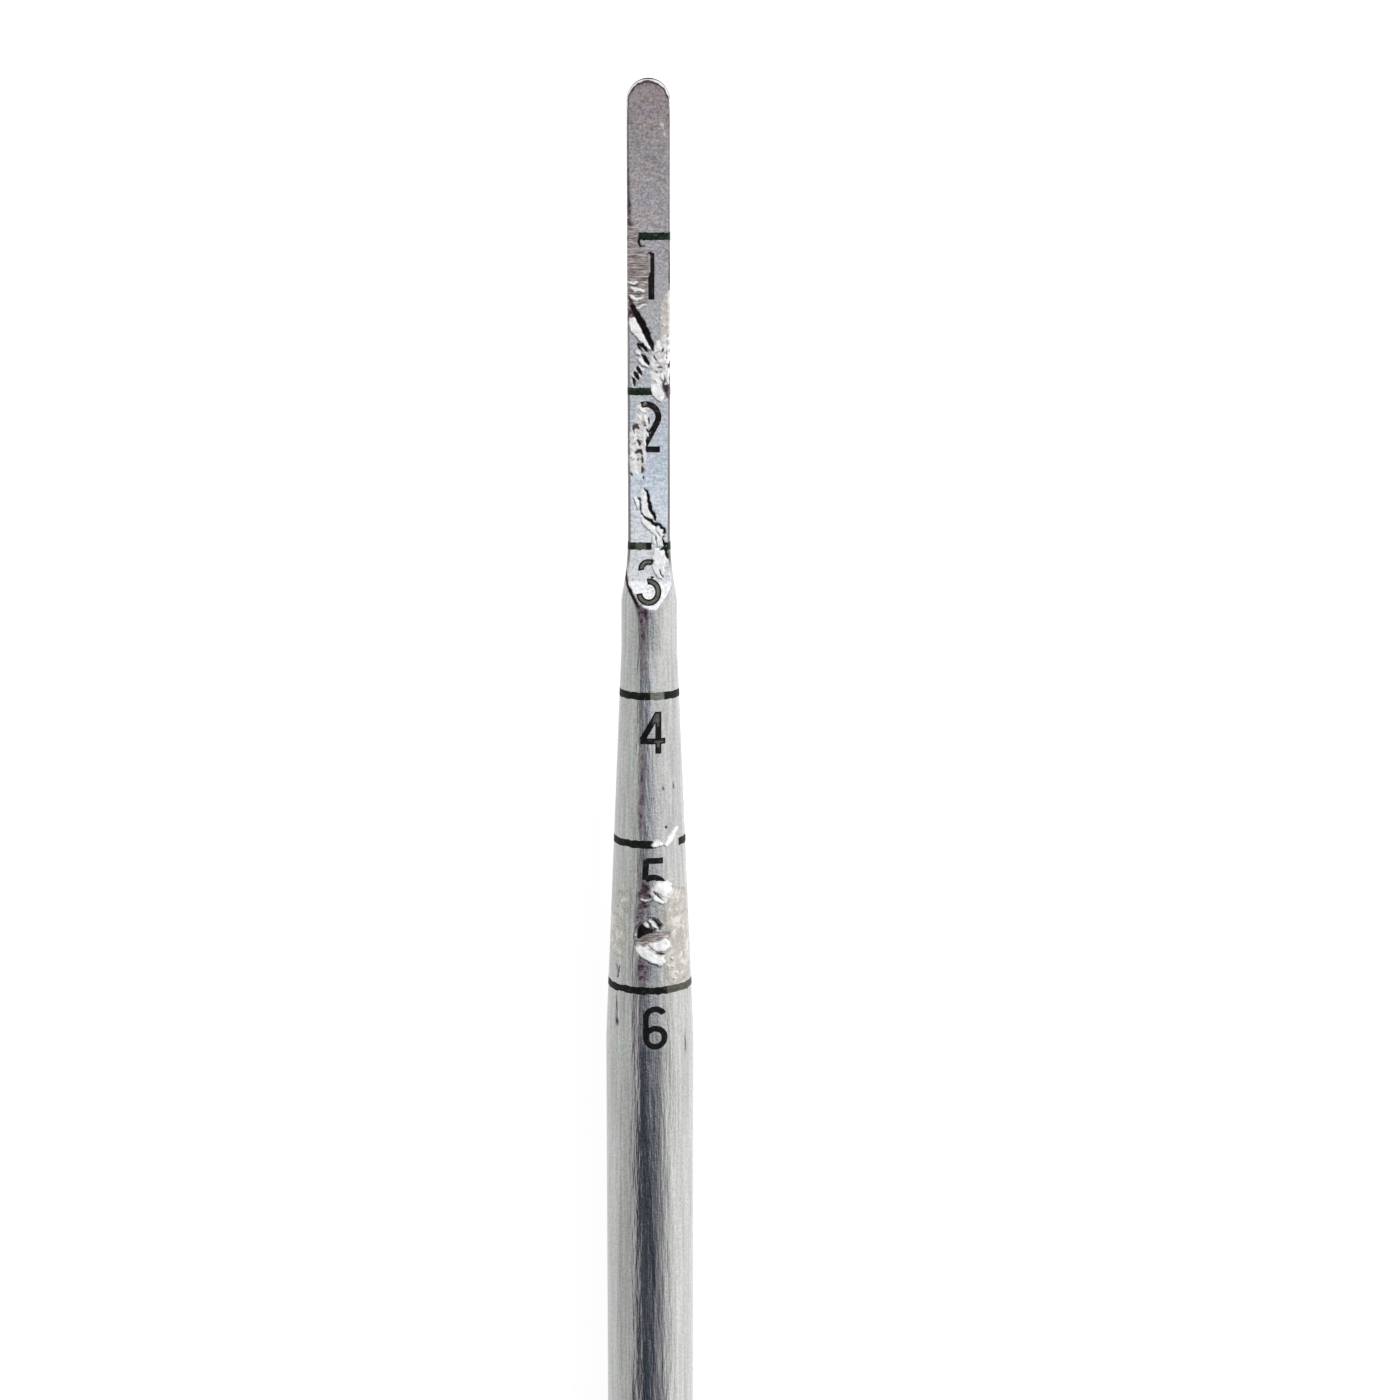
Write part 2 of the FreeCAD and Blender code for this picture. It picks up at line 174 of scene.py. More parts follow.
def top_height(station, offset):
    """Height of the bare upper surface above the axis."""
    round_part = np.sqrt(np.clip(turned_radius(station) ** 2 - offset**2, 0.0001, None))
    return smooth_min(round_part, flat_height(station), edge_rounding(station))


def flatness(station, angle):
    """1 on the blade's flats and their ramps, 0 on the turned surface."""
    spare = turned_radius(station) * np.abs(np.cos(angle)) - flat_height(station)
    return smoothstep(-0.015, 0.015, spare)


TIP_BEVEL_DROP = 0.22


def tip_bevel(station, offset):
    """How far the flats drop towards the rounded tip's outline."""
    inset = BLADE_RADIUS - np.hypot(np.minimum(station - BLADE_RADIUS, 0), offset)
    width = np.interp(station, [0.0, 0.5, 1.2, 2.6], [0.24, 0.20, 0.12, 0.07])
    fade = 1 - smoothstep(1.2, 2.8, station)
    return fade * TIP_BEVEL_DROP * (1 - smoothstep(0.0, 1.0, inset / width))


# ---------- wear, listed
# In millimetres, on the upper side. A stroke is its width at either end, its height, which is negative
# for a depth, and its points. A patch is its height and its outline. Every point is two numbers, its
# station and its offset.

# Raised flakes of peeled plating; their near-white colour is a painted highlight.
BRIGHT_STROKES = [
    # torn ridges across the left edge
    (0.16, 0.1, 0.06, 12.95, -1.3, 13.05, -1.0, 12.95, -0.72),
    (0.26, 0.16, 0.08, 13.3, -1.1, 13.42, -0.8, 13.45, -0.5, 13.55, -0.28),
    (0.22, 0.16, 0.08, 13.85, -1.12, 14.02, -0.8, 13.9, -0.42),
    (0.17, 0.1, 0.07, 14.62, -0.82, 14.5, -0.5, 14.4, -0.18),
    # between the dark gouges before the second band
    (0.26, 0.16, 0.07, 17.42, -0.8, 17.62, -0.55),
    (0.34, 0.2, 0.09, 17.92, -0.62, 18.1, -0.4, 18.4, -0.06),
    (0.16, 0.14, 0.06, 18.38, -0.58, 18.62, -0.34),
    (0.13, 0.15, 0.06, 18.68, -0.86, 19.04, -0.56),
    (0.15, 0.14, 0.06, 18.97, -1.04, 19.2, -0.82),
    (0.1, 0.12, 0.04, 17.55, 1.2, 17.3, 1.28),
    (0.26, 0.22, 0.06, 18.9, 0.86, 19.2, 0.92),
    (0.12, 0.1, 0.04, 19.1, 1.2, 19.35, 1.22),
    # inside the second numeral
    (0.2, 0.2, 0.06, 21.12, -0.54, 21.22, -0.36, 21.32, -0.14),
    (0.18, 0.18, 0.06, 21.55, -0.28, 21.9, -0.2, 22.2, -0.1),
    (0.14, 0.12, 0.04, 21.6, -0.68, 21.75, -0.58),
    (0.14, 0.1, 0.04, 22.75, -0.16, 22.9, -0.02),
    # along the cracks before the third band
    (0.18, 0.12, 0.06, 27.0, -0.98, 27.25, -0.8, 27.75, -0.62),
    # under the fifth numeral
    (0.12, 0.1, 0.04, 53.72, -0.55, 53.8, -0.25, 53.72, 0.05),
    # at the cream film's edge
    (0.15, 0.13, 0.03, 15.22, 0.76, 15.32, 0.88),
    (0.12, 0.1, 0.03, 15.62, 0.95, 15.7, 1.03),
    # on the fifth band, and in the pit behind the fifth numeral
    (0.38, 0.26, 0.1, 50.02, 0.28, 49.9, 0.55, 49.98, 0.86),
    (0.38, 0.22, 0.09, 50.0, 1.16, 49.5, 1.48, 48.95, 1.85),
    (0.14, 0.13, 0.09, 55.16, -0.02, 55.44, 0.28, 55.72, 0.52),
    (0.2, 0.16, 0.08, 55.36, -0.18, 55.62, -0.1),
    (0.22, 0.16, 0.06, 56.15, -0.84, 56.3, -0.74),
    # crumbs
    (0.14, 0.12, 0.05, 58.3, 1.25, 58.36, 1.34),
    (0.13, 0.1, 0.05, 58.45, 1.55, 58.5, 1.66),
    (0.14, 0.1, 0.05, 58.85, 1.8, 58.92, 1.9),
    (0.12, 0.1, 0.05, 59.25, 1.66, 59.32, 1.74),
    (0.1, 0.1, 0.04, 57.85, 1.5, 57.95, 1.56),
]
BRIGHT_PATCHES = [
    (0.12, 15.22, -1.22, 15.22, -0.88, 15.42, -0.72, 15.75, -0.56, 16.07, -0.4, 16.4, -0.22, 16.72, -0.06,
     17.05, 0.12, 17.32, 0.22, 17.15, -0.05, 16.72, -0.56, 16.4, -0.84, 16.07, -1.12, 15.6, -1.25),
    (0.11, 19.55, 0.14, 19.9, 0.18, 20.25, 0.26, 20.5, 0.5, 20.64, 0.76, 20.5, 0.95, 20.1, 0.97, 19.85, 0.8,
     19.6, 0.72, 19.45, 0.4),
    (0.09, 26.5, -0.5, 26.45, -0.3, 26.65, -0.12, 27.16, -0.1, 27.6, -0.03, 27.94, 0.18, 28.33, 0.38, 28.36,
     0.05, 28.1, -0.32, 27.8, -0.5, 27.16, -0.48, 26.9, -0.58),
    (0.1, 28.2, -0.44, 28.52, 0.02, 28.86, 0.24, 29.25, 0.56, 29.48, 0.59, 29.41, 0.3, 29.05, -0.02, 28.73,
     -0.38, 28.46, -0.48),
    (0.07, 28.88, 0.52, 29.05, 0.86, 29.38, 0.94, 29.52, 0.8, 29.28, 0.66, 29.05, 0.5),
    (0.07, 29.42, 0.2, 29.48, 0.38, 30.02, 0.36, 30.0, 0.2),
    (0.07, 29.5, 0.5, 29.55, 0.84, 30.12, 0.9, 30.16, 0.55),
    (0.09, 30.34, 0.36, 30.42, 0.86, 31.05, 1.16, 31.28, 0.96, 31.67, 0.96, 32.36, 0.94, 32.28, 0.64, 32.0,
     0.38, 31.48, 0.24, 31.15, 0.36, 30.92, 0.14, 30.7, 0.32),
    (0.13, 52.56, 0.5, 52.65, 1.0, 52.72, 1.46, 53.15, 1.46, 53.52, 1.02, 53.38, 0.73, 53.13, 0.3, 52.85,
     0.38),
    (0.1, 53.5, 0.26, 53.44, 0.5, 53.8, 0.95, 54.05, 0.9, 53.76, 0.32),
    (0.14, 56.77, 0.0, 56.65, 0.53, 56.46, 1.05, 56.65, 1.38, 57.03, 1.3, 57.26, 1.05, 57.26, 0.53, 57.03,
     0.23),
    (0.14, 57.03, -0.93, 57.03, -0.52, 57.18, 0.0, 57.42, 0.26, 57.7, 0.6, 57.72, 1.04, 58.09, 0.97, 58.24,
     0.67, 57.94, 0.0, 57.63, -0.52, 57.33, -0.84),
]
# Cracks, gouges and a pit cut into the surface; their near-black colour is painted shade.
BLACK_STROKES = [
    (0.5, 0.38, -0.14, 14.5, -1.08, 14.95, -0.82, 15.49, -0.49, 16.27, -0.11, 16.98, 0.22, 17.25, 0.25),
    (0.24, 0.22, -0.1, 16.96, -0.74, 17.02, -0.45, 17.2, -0.22, 17.46, -0.04),
    (0.14, 0.1, -0.1, 17.02, -0.7, 17.28, -0.54, 17.4, -0.42),
    (0.32, 0.26, -0.1, 17.66, -0.42, 17.9, -0.2, 18.24, -0.03),
    (0.34, 0.18, -0.08, 18.44, -0.72, 18.64, -0.62, 18.92, -0.47),
    (0.33, 0.18, -0.08, 18.76, -0.93, 18.95, -0.82, 19.22, -0.69),
    (0.3, 0.2, -0.08, 19.18, -1.04, 19.35, -0.94, 19.62, -0.92),
    (0.22, 0.14, -0.02, 10.0, -0.6, 10.4, -0.6, 10.62, -0.52, 10.66, -0.28),
    (0.1, 0.18, -0.02, 11.12, -0.14, 11.08, 0.02, 11.15, 0.2),
    (0.11, 0.13, -0.03, 21.66, 0.0, 21.85, -0.02, 22.08, 0.0),
    (0.1, 0.08, -0.03, 22.18, -0.38, 22.3, -0.18),
    (0.14, 0.17, -0.03, 22.44, -0.16, 22.7, 0.0),
    (0.17, 0.32, -0.12, 26.36, -0.3, 26.62, -0.06, 27.16, -0.01, 27.61, 0.08, 28.02, 0.28, 28.44, 0.43),
    (0.08, 0.12, -0.06, 26.95, -0.74, 27.06, -0.58),
    (0.06, 0.08, -0.05, 27.1, -0.56, 27.5, -0.57, 27.92, -0.54),
    (0.18, 0.27, -0.12, 28.02, -0.52, 28.2, -0.34, 28.42, 0.05, 28.72, 0.36, 28.75, 0.7, 28.99, 0.95, 29.28,
     1.05),
    (0.24, 0.22, -0.1, 28.62, 0.26, 28.8, 0.44),
    (0.08, 0.1, -0.06, 29.45, 1.0, 29.6, 0.95),
    (0.16, 0.32, -0.1, 29.68, 0.88, 30.0, 1.0, 30.43, 1.11, 30.95, 1.2),
    (0.07, 0.06, -0.04, 29.5, 0.42, 29.9, 0.44),
    (0.14, 0.2, -0.06, 30.42, 0.72, 30.3, 0.92, 30.12, 1.12),
    (0.07, 0.12, -0.04, 31.74, 0.68, 32.0, 0.82, 32.26, 0.95),
    (0.1, 0.12, -0.12, 53.22, 0.28, 53.48, 0.58, 53.8, 0.98),
    (0.16, 0.2, -0.14, 55.08, 0.18, 55.2, 0.5, 55.58, 0.74, 55.84, 0.68),
    (0.12, 0.14, -0.1, 55.34, 0.02, 55.6, 0.12, 55.92, 0.26),
    (0.2, 0.2, -0.05, 62.25, -2.2, 62.55, -2.2),
    (0.2, 0.14, -0.03, 48.8, 1.1, 48.98, 1.18),
    (0.16, 0.1, -0.03, 25.55, -0.42, 25.72, -0.36),
    (0.1, 0.05, -0.02, 13.0, 1.34, 12.2, 1.36, 11.0, 1.36),
    (0.1, 0.28, -0.03, 31.5, -1.5, 32.2, -1.54, 32.74, -1.4, 33.05, -1.26, 33.46, -1.0, 33.95, -0.72),
]
BLACK_PATCHES = [
    (-0.11, 55.75, -0.82, 55.33, -0.52, 55.62, -0.26, 55.78, 0.2, 55.98, 0.22, 56.16, -0.22, 56.35, -0.52,
     56.46, -0.82),
]
DARK_STROKES = [
    # specks on the torn patches
    (0.17, 0.12, -0.04, 17.25, 0.96, 17.45, 0.87),
    (0.17, 0.14, -0.04, 17.7, 1.17, 17.85, 1.14),
    (0.1, 0.13, -0.03, 17.62, 0.33, 17.95, 0.5),
    (0.12, 0.14, -0.04, 18.46, 0.55, 18.4, 0.7, 18.44, 0.86),
    (0.12, 0.1, -0.03, 18.72, 0.5, 18.78, 0.58),
    (0.12, 0.1, -0.02, 18.1, 1.36, 18.5, 1.36),
    (0.1, 0.22, -0.03, 18.95, 1.0, 19.2, 1.04, 19.5, 0.92, 19.7, 1.02),
    (0.14, 0.12, -0.02, 19.1, 1.35, 19.4, 1.35),
    (0.32, 0.26, -0.02, 19.68, 1.02, 19.78, 1.22),
    (0.24, 0.18, -0.02, 19.85, 1.16, 20.15, 1.2, 20.38, 1.3),
    (0.24, 0.22, -0.05, 22.5, -1.0, 22.25, -0.92, 22.22, -0.78, 22.45, -0.7),
    (0.12, 0.07, -0.03, 22.5, -0.98, 22.8, -0.86),
    (0.2, 0.22, -0.05, 23.2, -0.74, 23.5, -0.53),
    (0.2, 0.2, -0.05, 24.05, -0.82, 23.86, -0.7, 23.92, -0.55, 24.12, -0.42),
    (0.16, 0.18, -0.04, 24.3, -0.42, 24.5, -0.38, 24.68, -0.42),
    (0.1, 0.08, -0.03, 24.38, -0.74, 24.52, -0.7),
    (0.16, 0.22, -0.05, 24.88, -0.48, 25.05, -0.42, 25.28, -0.44),
    (0.2, 0.2, -0.04, 25.36, -1.2, 25.5, -1.1),
    # down the left edge
    (0.1, 0.12, -0.02, 5.6, -1.36, 6.0, -1.33),
    (0.14, 0.12, -0.02, 6.9, -1.37, 7.25, -1.3),
    (0.16, 0.18, -0.02, 7.5, -1.36, 7.95, -1.26),
    (0.18, 0.16, -0.02, 8.3, -1.34, 8.65, -1.22),
    (0.2, 0.16, -0.02, 8.95, -1.3, 9.35, -1.14),
    (0.24, 0.3, -0.03, 13.85, -1.3, 14.25, -1.12, 14.5, -1.02),
    (0.2, 0.26, -0.03, 14.75, -1.28, 14.95, -1.05),
    # painted shadows under the torn ridges
    (0.1, 0.07, -0.03, 13.17, -1.15, 13.22, -0.95, 13.13, -0.68),
    (0.1, 0.07, -0.03, 13.68, -1.2, 13.73, -0.85, 13.68, -0.5),
    # beside the fifth numeral
    (0.3, 0.36, -0.03, 52.75, -0.4, 53.0, -0.25, 53.25, -0.3),
    (0.2, 0.22, -0.03, 53.35, -0.62, 53.45, -0.2, 53.55, 0.12),
    (0.22, 0.16, -0.03, 54.4, -0.62, 54.25, -0.32, 54.15, -0.08),
    (0.16, 0.2, -0.04, 57.42, 0.4, 57.46, 0.72, 57.52, 1.04),
    # scattered along the cone and the shank
    (0.1, 0.16, -0.02, 58.55, -1.98, 58.9, -2.05, 59.3, -2.12),
    (0.08, 0.1, -0.02, 58.5, -2.25, 58.9, -2.12),
    (0.05, 0.09, -0.01, 59.9, -2.18, 61.0, -2.2, 62.2, -2.22),
    (0.05, 0.09, -0.01, 63.2, 2.4, 64.8, 2.42),
    (0.16, 0.12, -0.02, 72.25, 0.05, 72.45, 0.12),
    (0.12, 0.09, -0.02, 46.0, 1.55, 46.25, 1.6),
    (0.09, 0.08, -0.02, 46.2, 0.9, 46.3, 1.0),
]
BROWN_PATCHES = [
    (0.0, 8.4, -1.42, 9.0, -1.15, 9.35, -0.8, 9.75, -0.66, 10.6, -0.62, 10.85, -0.3, 11.3, 0.0, 12.0, 0.1,
     12.8, 0.0, 13.6, -0.04, 14.2, -0.12, 14.5, -0.4, 14.7, -0.9, 15.0, -1.45),
    (-0.03, 55.92, 0.23, 56.05, 0.75, 55.86, 1.2, 56.05, 1.5, 56.45, 1.35, 56.52, 0.75, 56.75, 0.15, 57.0,
     -0.45, 56.7, -0.85, 56.4, -0.6, 56.15, -0.1),
]
BROWN_STROKES = [
    (0.06, 0.04, 0.0, 9.38, 0.35, 9.3, 0.8),
]
CREAM_PATCHES = [
    (0.014, 13.3, 1.45, 13.9, 0.92, 14.6, 0.76, 15.5, 0.72, 16.4, 0.8, 17.1, 0.6, 17.1, 1.45),
]
CREAM_STROKES = [
    (0.34, 0.28, 0.012, 2.9, 0.84, 3.04, 0.95),
    (0.26, 0.22, 0.012, 3.5, 1.04, 3.6, 1.08),
    (0.06, 0.05, 0.005, 3.1, 0.96, 3.5, 1.04),
]
MOTTLED_PATCHES = [
    (0.07, 16.3, 1.0, 16.7, 0.55, 17.3, 0.3, 18.2, 0.15, 19.0, 0.12, 19.5, 0.15, 19.6, 1.0, 19.4, 1.45,
     16.4, 1.45),
    (0.06, 22.6, -1.22, 22.3, -0.1, 23.1, -0.26, 24.1, -0.2, 25.1, -0.33, 25.45, -0.5, 25.5, -1.22),
    (0.04, 20.9, -0.75, 20.75, -0.25, 21.0, 0.0, 22.3, 0.1, 22.6, -0.4, 21.9, -0.85),
    (0.05, 56.75, -0.7, 56.8, 0.1, 57.2, 0.4, 57.5, 1.15, 57.8, 1.0, 57.6, 0.4, 57.3, -0.4, 57.1, -0.8),
    (0.04, 52.6, 0.3, 52.5, 1.2, 53.2, 1.6, 54.0, 1.1, 53.9, 0.3, 53.3, 0.1),
]
STAIN_PATCHES = [
    (0.0, 53.5, -2.05, 53.2, -1.6, 53.5, -1.2, 54.3, -1.15, 54.7, -1.5, 54.5, -2.1),
    (0.0, 52.9, 1.3, 53.2, 2.2, 54.0, 2.7, 55.0, 2.1, 54.6, 0.9, 53.6, 0.9),
    (0.0, 54.9, -2.7, 55.2, -1.9, 55.8, -1.6, 57.0, -1.6, 57.9, -1.7, 57.6, -2.8),
    (0.0, 54.7, 1.0, 54.9, 2.5, 57.0, 2.8, 59.3, 2.7, 59.7, 1.5, 58.6, 0.9, 56.0, 1.2),
]
PURPLE_PATCHES = [
    (-0.01, 19.55, 0.94, 19.5, 1.45, 20.45, 1.45, 20.4, 1.15, 20.05, 0.96),
    (-0.01, 14.1, -1.45, 14.1, -1.1, 14.5, -0.85, 15.1, -0.8, 15.4, -0.95, 15.3, -1.45),
    (-0.005, 33.2, -1.0, 33.5, -0.72, 34.0, -0.42, 34.15, -0.05, 34.7, 0.02, 35.3, -0.16, 36.2, -0.22, 36.3,
     -0.5, 35.2, -0.62, 34.2, -0.8, 33.6, -0.9),
    (-0.005, 52.4, -0.5, 52.5, -0.1, 53.0, 0.0, 53.4, 0.25, 53.7, 0.05, 54.1, 0.05, 54.5, -0.2, 55.1, -0.4,
     55.3, -0.95, 54.6, -0.85, 54.0, -0.75, 53.4, -0.78, 52.9, -0.6),
    (-0.005, 57.8, -0.75, 58.0, -0.2, 58.4, 0.0, 59.4, -0.1, 59.4, -0.75, 58.6, -0.85),
]
PURPLE_STROKES = [
    (0.05, 0.24, 0.0, 2.6, -1.34, 6.4, -1.34, 8.6, -1.3, 10.0, -1.22),
    (0.18, 0.36, 0.0, 6.0, -1.31, 7.4, -1.28, 8.8, -1.24, 9.8, -1.2),
    (0.06, 0.14, 0.0, 20.2, -1.42, 22.5, -1.38, 25.4, -1.4),
    (0.1, 0.12, 0.0, 11.5, 0.85, 11.42, 1.25),
    (0.12, 0.12, 0.0, 10.85, 1.18, 11.05, 1.24),
    (0.26, 0.12, 0.0, 36.0, -0.36, 37.2, -0.28, 38.6, -0.2),
    (0.24, 0.36, 0.0, 43.6, -0.42, 46.4, -0.5, 48.9, -0.62),
]
# Outlines within which a numeral has been scraped off
SCRAPED = {
    "numeral_1": [
        (11.0, -1.2, 11.0, 0.04, 11.15, 0.1, 11.7, 0.12, 12.2, 0.12, 12.7, 0.0, 13.0, -0.1, 13.0, -1.2),
    ],
    "numeral_2": [
        (22.0, -1.2, 22.1, -0.25, 22.6, -0.2, 24.2, -0.18, 24.2, -1.2),
        (20.5, -1.2, 20.5, -0.62, 21.6, -0.3, 21.6, -1.2),
    ],
    "numeral_3": [
        (30.6, 0.28, 30.6, 1.4, 32.2, 1.4, 32.2, -0.35, 31.7, -0.2, 31.3, 0.28),
    ],
    "numeral_5": [
        (52.55, 0.95, 52.6, 1.4, 55.5, 1.4, 55.5, -0.6, 53.3, -0.6, 52.9, 0.0, 52.5, 0.5),
    ],
}
# Every class: its strokes, its patches, how soft its edge is
CLASSES = {
    "bright": (BRIGHT_STROKES, BRIGHT_PATCHES, 0.03),
    "black": (BLACK_STROKES, BLACK_PATCHES, 0.025),
    "brown": (BROWN_STROKES, BROWN_PATCHES, 0.08),
    "cream": (CREAM_STROKES, CREAM_PATCHES, 0.06),
    "mottle": ([], MOTTLED_PATCHES, 0.10),
    "dark": (DARK_STROKES, [], 0.03),
    "stain": ([], STAIN_PATCHES, 0.35),
    "purple": (PURPLE_STROKES, PURPLE_PATCHES, 0.11),
}
SHADOW_REACH = 0.055
WARP, WARP_SCALE = 0.05, 4.5  # outlines are shifted by this many millimetres; hills in a millimetre
WARP_S, WARP_X, TEXTURE = Noise(3), Noise(5), Noise(8)


def line_gap(station, offset, first, last):
    """Each place's distance from a straight line, and where it is along it, from 0 to 1."""
    run = last - first
    along = ((station - first[0]) * run[0] + (offset - first[1]) * run[1]) / (run @ run)
    along = np.clip(along, 0.0, 1.0)
    return np.hypot(station - first[0] - along * run[0], offset - first[1] - along * run[1]), along


def stroke_cover(station, offset, stroke, softness):
    """How far each place is inside a tapering stroke, from 0 to 1."""
    start_width, end_width = stroke[:2]
    points = np.reshape(stroke[3:], (-1, 2))
    lengths = np.linalg.norm(np.diff(points, axis=0), axis=1)
    marks = np.concatenate([[0.0], np.cumsum(lengths)]) / lengths.sum()
    cover = np.zeros_like(station)
    for index in range(len(lengths)):
        gap, along = line_gap(station, offset, points[index], points[index + 1])
        share = marks[index] + along * (marks[index + 1] - marks[index])
        taper = np.sin(np.pi * np.clip(share * 0.9 + 0.05, 0, 1)) ** 0.35
        half = (start_width + share * (end_width - start_width)) / 2 * taper
        cover = np.maximum(cover, smoothstep(half + softness, half - softness, gap))
    return cover


def patch_cover(station, offset, outline, softness):
    """How far each place is inside a closed outline, from 0 to 1."""
    corners = np.reshape(outline, (-1, 2))
    nearest = np.full(station.shape, 1e9)
    inside = np.zeros(station.shape, bool)
    for first, last in zip(corners, np.roll(corners, -1, axis=0)):
        nearest = np.minimum(nearest, line_gap(station, offset, first, last)[0])
        run = last - first
        if run[1]:
            crosses = (first[1] > offset) != (last[1] > offset)
            inside ^= crosses & (station < first[0] + (offset - first[1]) / run[1] * run[0])
    return smoothstep(-softness, softness, np.where(inside, nearest, -nearest))


def class_cover(name, station, offset):
    """Cover and height of one class of wear."""
    strokes, patches, softness = CLASSES[name]
    shares = [(stroke_cover(station, offset, stroke, softness), stroke[2]) for stroke in strokes]
    shares += [(patch_cover(station, offset, outline, softness), rise) for rise, *outline in patches]
    cover, height = np.zeros_like(station), np.zeros_like(station)
    for share, rise in shares:
        height = np.where(share > cover, rise * share, height)
        cover = np.maximum(cover, share)
    return cover, height


def wear_at(station, offset):
    """Cover of every class of wear, and the height of the worn surface above the bare one."""
    warped_s = station + WARP * WARP_S.rough(station * WARP_SCALE, offset * WARP_SCALE, 3)
    warped_x = offset + WARP * WARP_X.rough(station * WARP_SCALE, offset * WARP_SCALE, 3)
    relief = TEXTURE.rough(station * 3.0, offset * 4.0, 4)
    covers, heights = {}, {}
    for name in CLASSES:
        covers[name], heights[name] = class_cover(name, warped_s, warped_x)
    beside = class_cover("bright", warped_s - SHADOW_REACH, warped_x + SHADOW_REACH)[0]
    covers["shadow"] = beside * (1 - covers["bright"])
    raised = heights["bright"] * (0.75 + 0.45 * relief) + heights["cream"] + heights["purple"]
    under = heights["mottle"] * (relief * 1.3 + 0.1) + heights["brown"] + heights["dark"]
    raised = raised + under * (1 - covers["bright"])
    covers["bright"] = covers["bright"] * (1 - covers["black"])
    return covers, raised * (1 - covers["black"]) + heights["black"]


# ---------- mesh building


def store(mesh, name, values):
    """Keeps one number a vertex for the material to read."""
    layer = mesh.attributes.new(name, "FLOAT", "POINT")
    layer.data.foreach_set("value", np.asarray(values).astype(np.float32))


def link_object(name, mesh):
    mesh.shade_smooth()
    piece = bpy.data.objects.new(name, mesh)
    bpy.context.scene.collection.objects.link(piece)
    return piece


def make_object(name, vertices, faces):
    mesh = bpy.data.meshes.new(name)
    mesh.from_pydata((np.asarray(vertices) * MM).tolist(), [], faces)
    mesh.validate()
    return link_object(name, mesh)


def place(station, angle, radius):
    """Rows of points round the axis, in the frame's millimetres."""
    x = radius * np.sin(angle)
    z = AXIS_HEIGHT + radius * np.cos(angle)
    y = np.broadcast_to(TIP - station, x.shape)
    return np.stack([x, y, z], axis=-1)


def skin_faces(rows, columns, joined_ends):
    """Quads between rings of points, each ring closed on itself."""
    row = np.arange(rows if joined_ends else rows - 1)[:, None]
    column = np.arange(columns)[None, :]
    after = (column + 1) % columns
    below = (row + 1) % rows
    rings = ((row, column), (below, column), (below, after), (row, after))
    corners = [r * columns + c for r, c in rings]
    return np.stack(np.broadcast_arrays(*corners), axis=-1).reshape(-1, 4)


def skin(name, points, joined_ends=False):
    """A closed surface through rings of points; its ends are joined to each other or closed."""
    rows, columns = points.shape[:2]
    vertices = points.reshape(-1, 3)
    faces = skin_faces(rows, columns, joined_ends).tolist()
    if not joined_ends:
        last = (rows - 1) * columns
        vertices = np.concatenate([vertices, [points[0].mean(0)], [points[-1].mean(0)]])
        for column in range(columns):
            after = (column + 1) % columns
            faces.append([rows * columns, column, after])
            faces.append([rows * columns + 1, last + after, last + column])
    return make_object(name, vertices, faces)


def tidy_normals(piece, sharp_degrees):
    mesh = bmesh.new()
    mesh.from_mesh(piece.data)
    bmesh.ops.recalc_face_normals(mesh, faces=mesh.faces)
    mesh.to_mesh(piece.data)
    mesh.free()
    piece.data.set_sharp_from_angle(angle=math.radians(sharp_degrees))


def finish_piece(piece, node):
    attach(piece, BODY)
    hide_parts(node)


# ---------- the rod

TOP_COLUMNS, BOTTOM_COLUMNS = 92, 24
# Rows of points along the rod: where a spacing starts, and the spacing
ROW_SPACINGS = [(1.4, 0.10), (8.5, 0.06), (34.3, 0.20), (48.0, 0.075), (60.0, 0.4), (66.0, 1.0)]


def rod_stations():
    nose = BLADE_RADIUS * (1 - np.cos(np.linspace(0.03, math.pi / 2, 22)))
    rows = [nose[:-1]]
    stops = [start for start, _ in ROW_SPACINGS[1:]] + [SHANK_END]
    for (start, spacing), stop in zip(ROW_SPACINGS, stops):
        count = max(int(round((stop - start) / spacing)), 1)
        rows.append(np.linspace(start, stop, count, endpoint=False))
    return np.concatenate(rows + [[SHANK_END]])


def even_angles(station, low, high, count):
    """Angles that are evenly spaced along the section's outline, for each station."""
    fine = np.linspace(low, high, 361)[None, :]
    radius = section_radius(station[:, None], fine)
    step = np.hypot(np.diff(radius * np.sin(fine)), np.diff(radius * np.cos(fine)))
    travelled = np.concatenate([np.zeros((len(station), 1)), np.cumsum(step, axis=1)], axis=1)
    wanted = np.linspace(0, 1, count, endpoint=False)
    rows = [np.interp(wanted * run[-1], run, fine[0]) for run in travelled]
    return np.stack(rows)


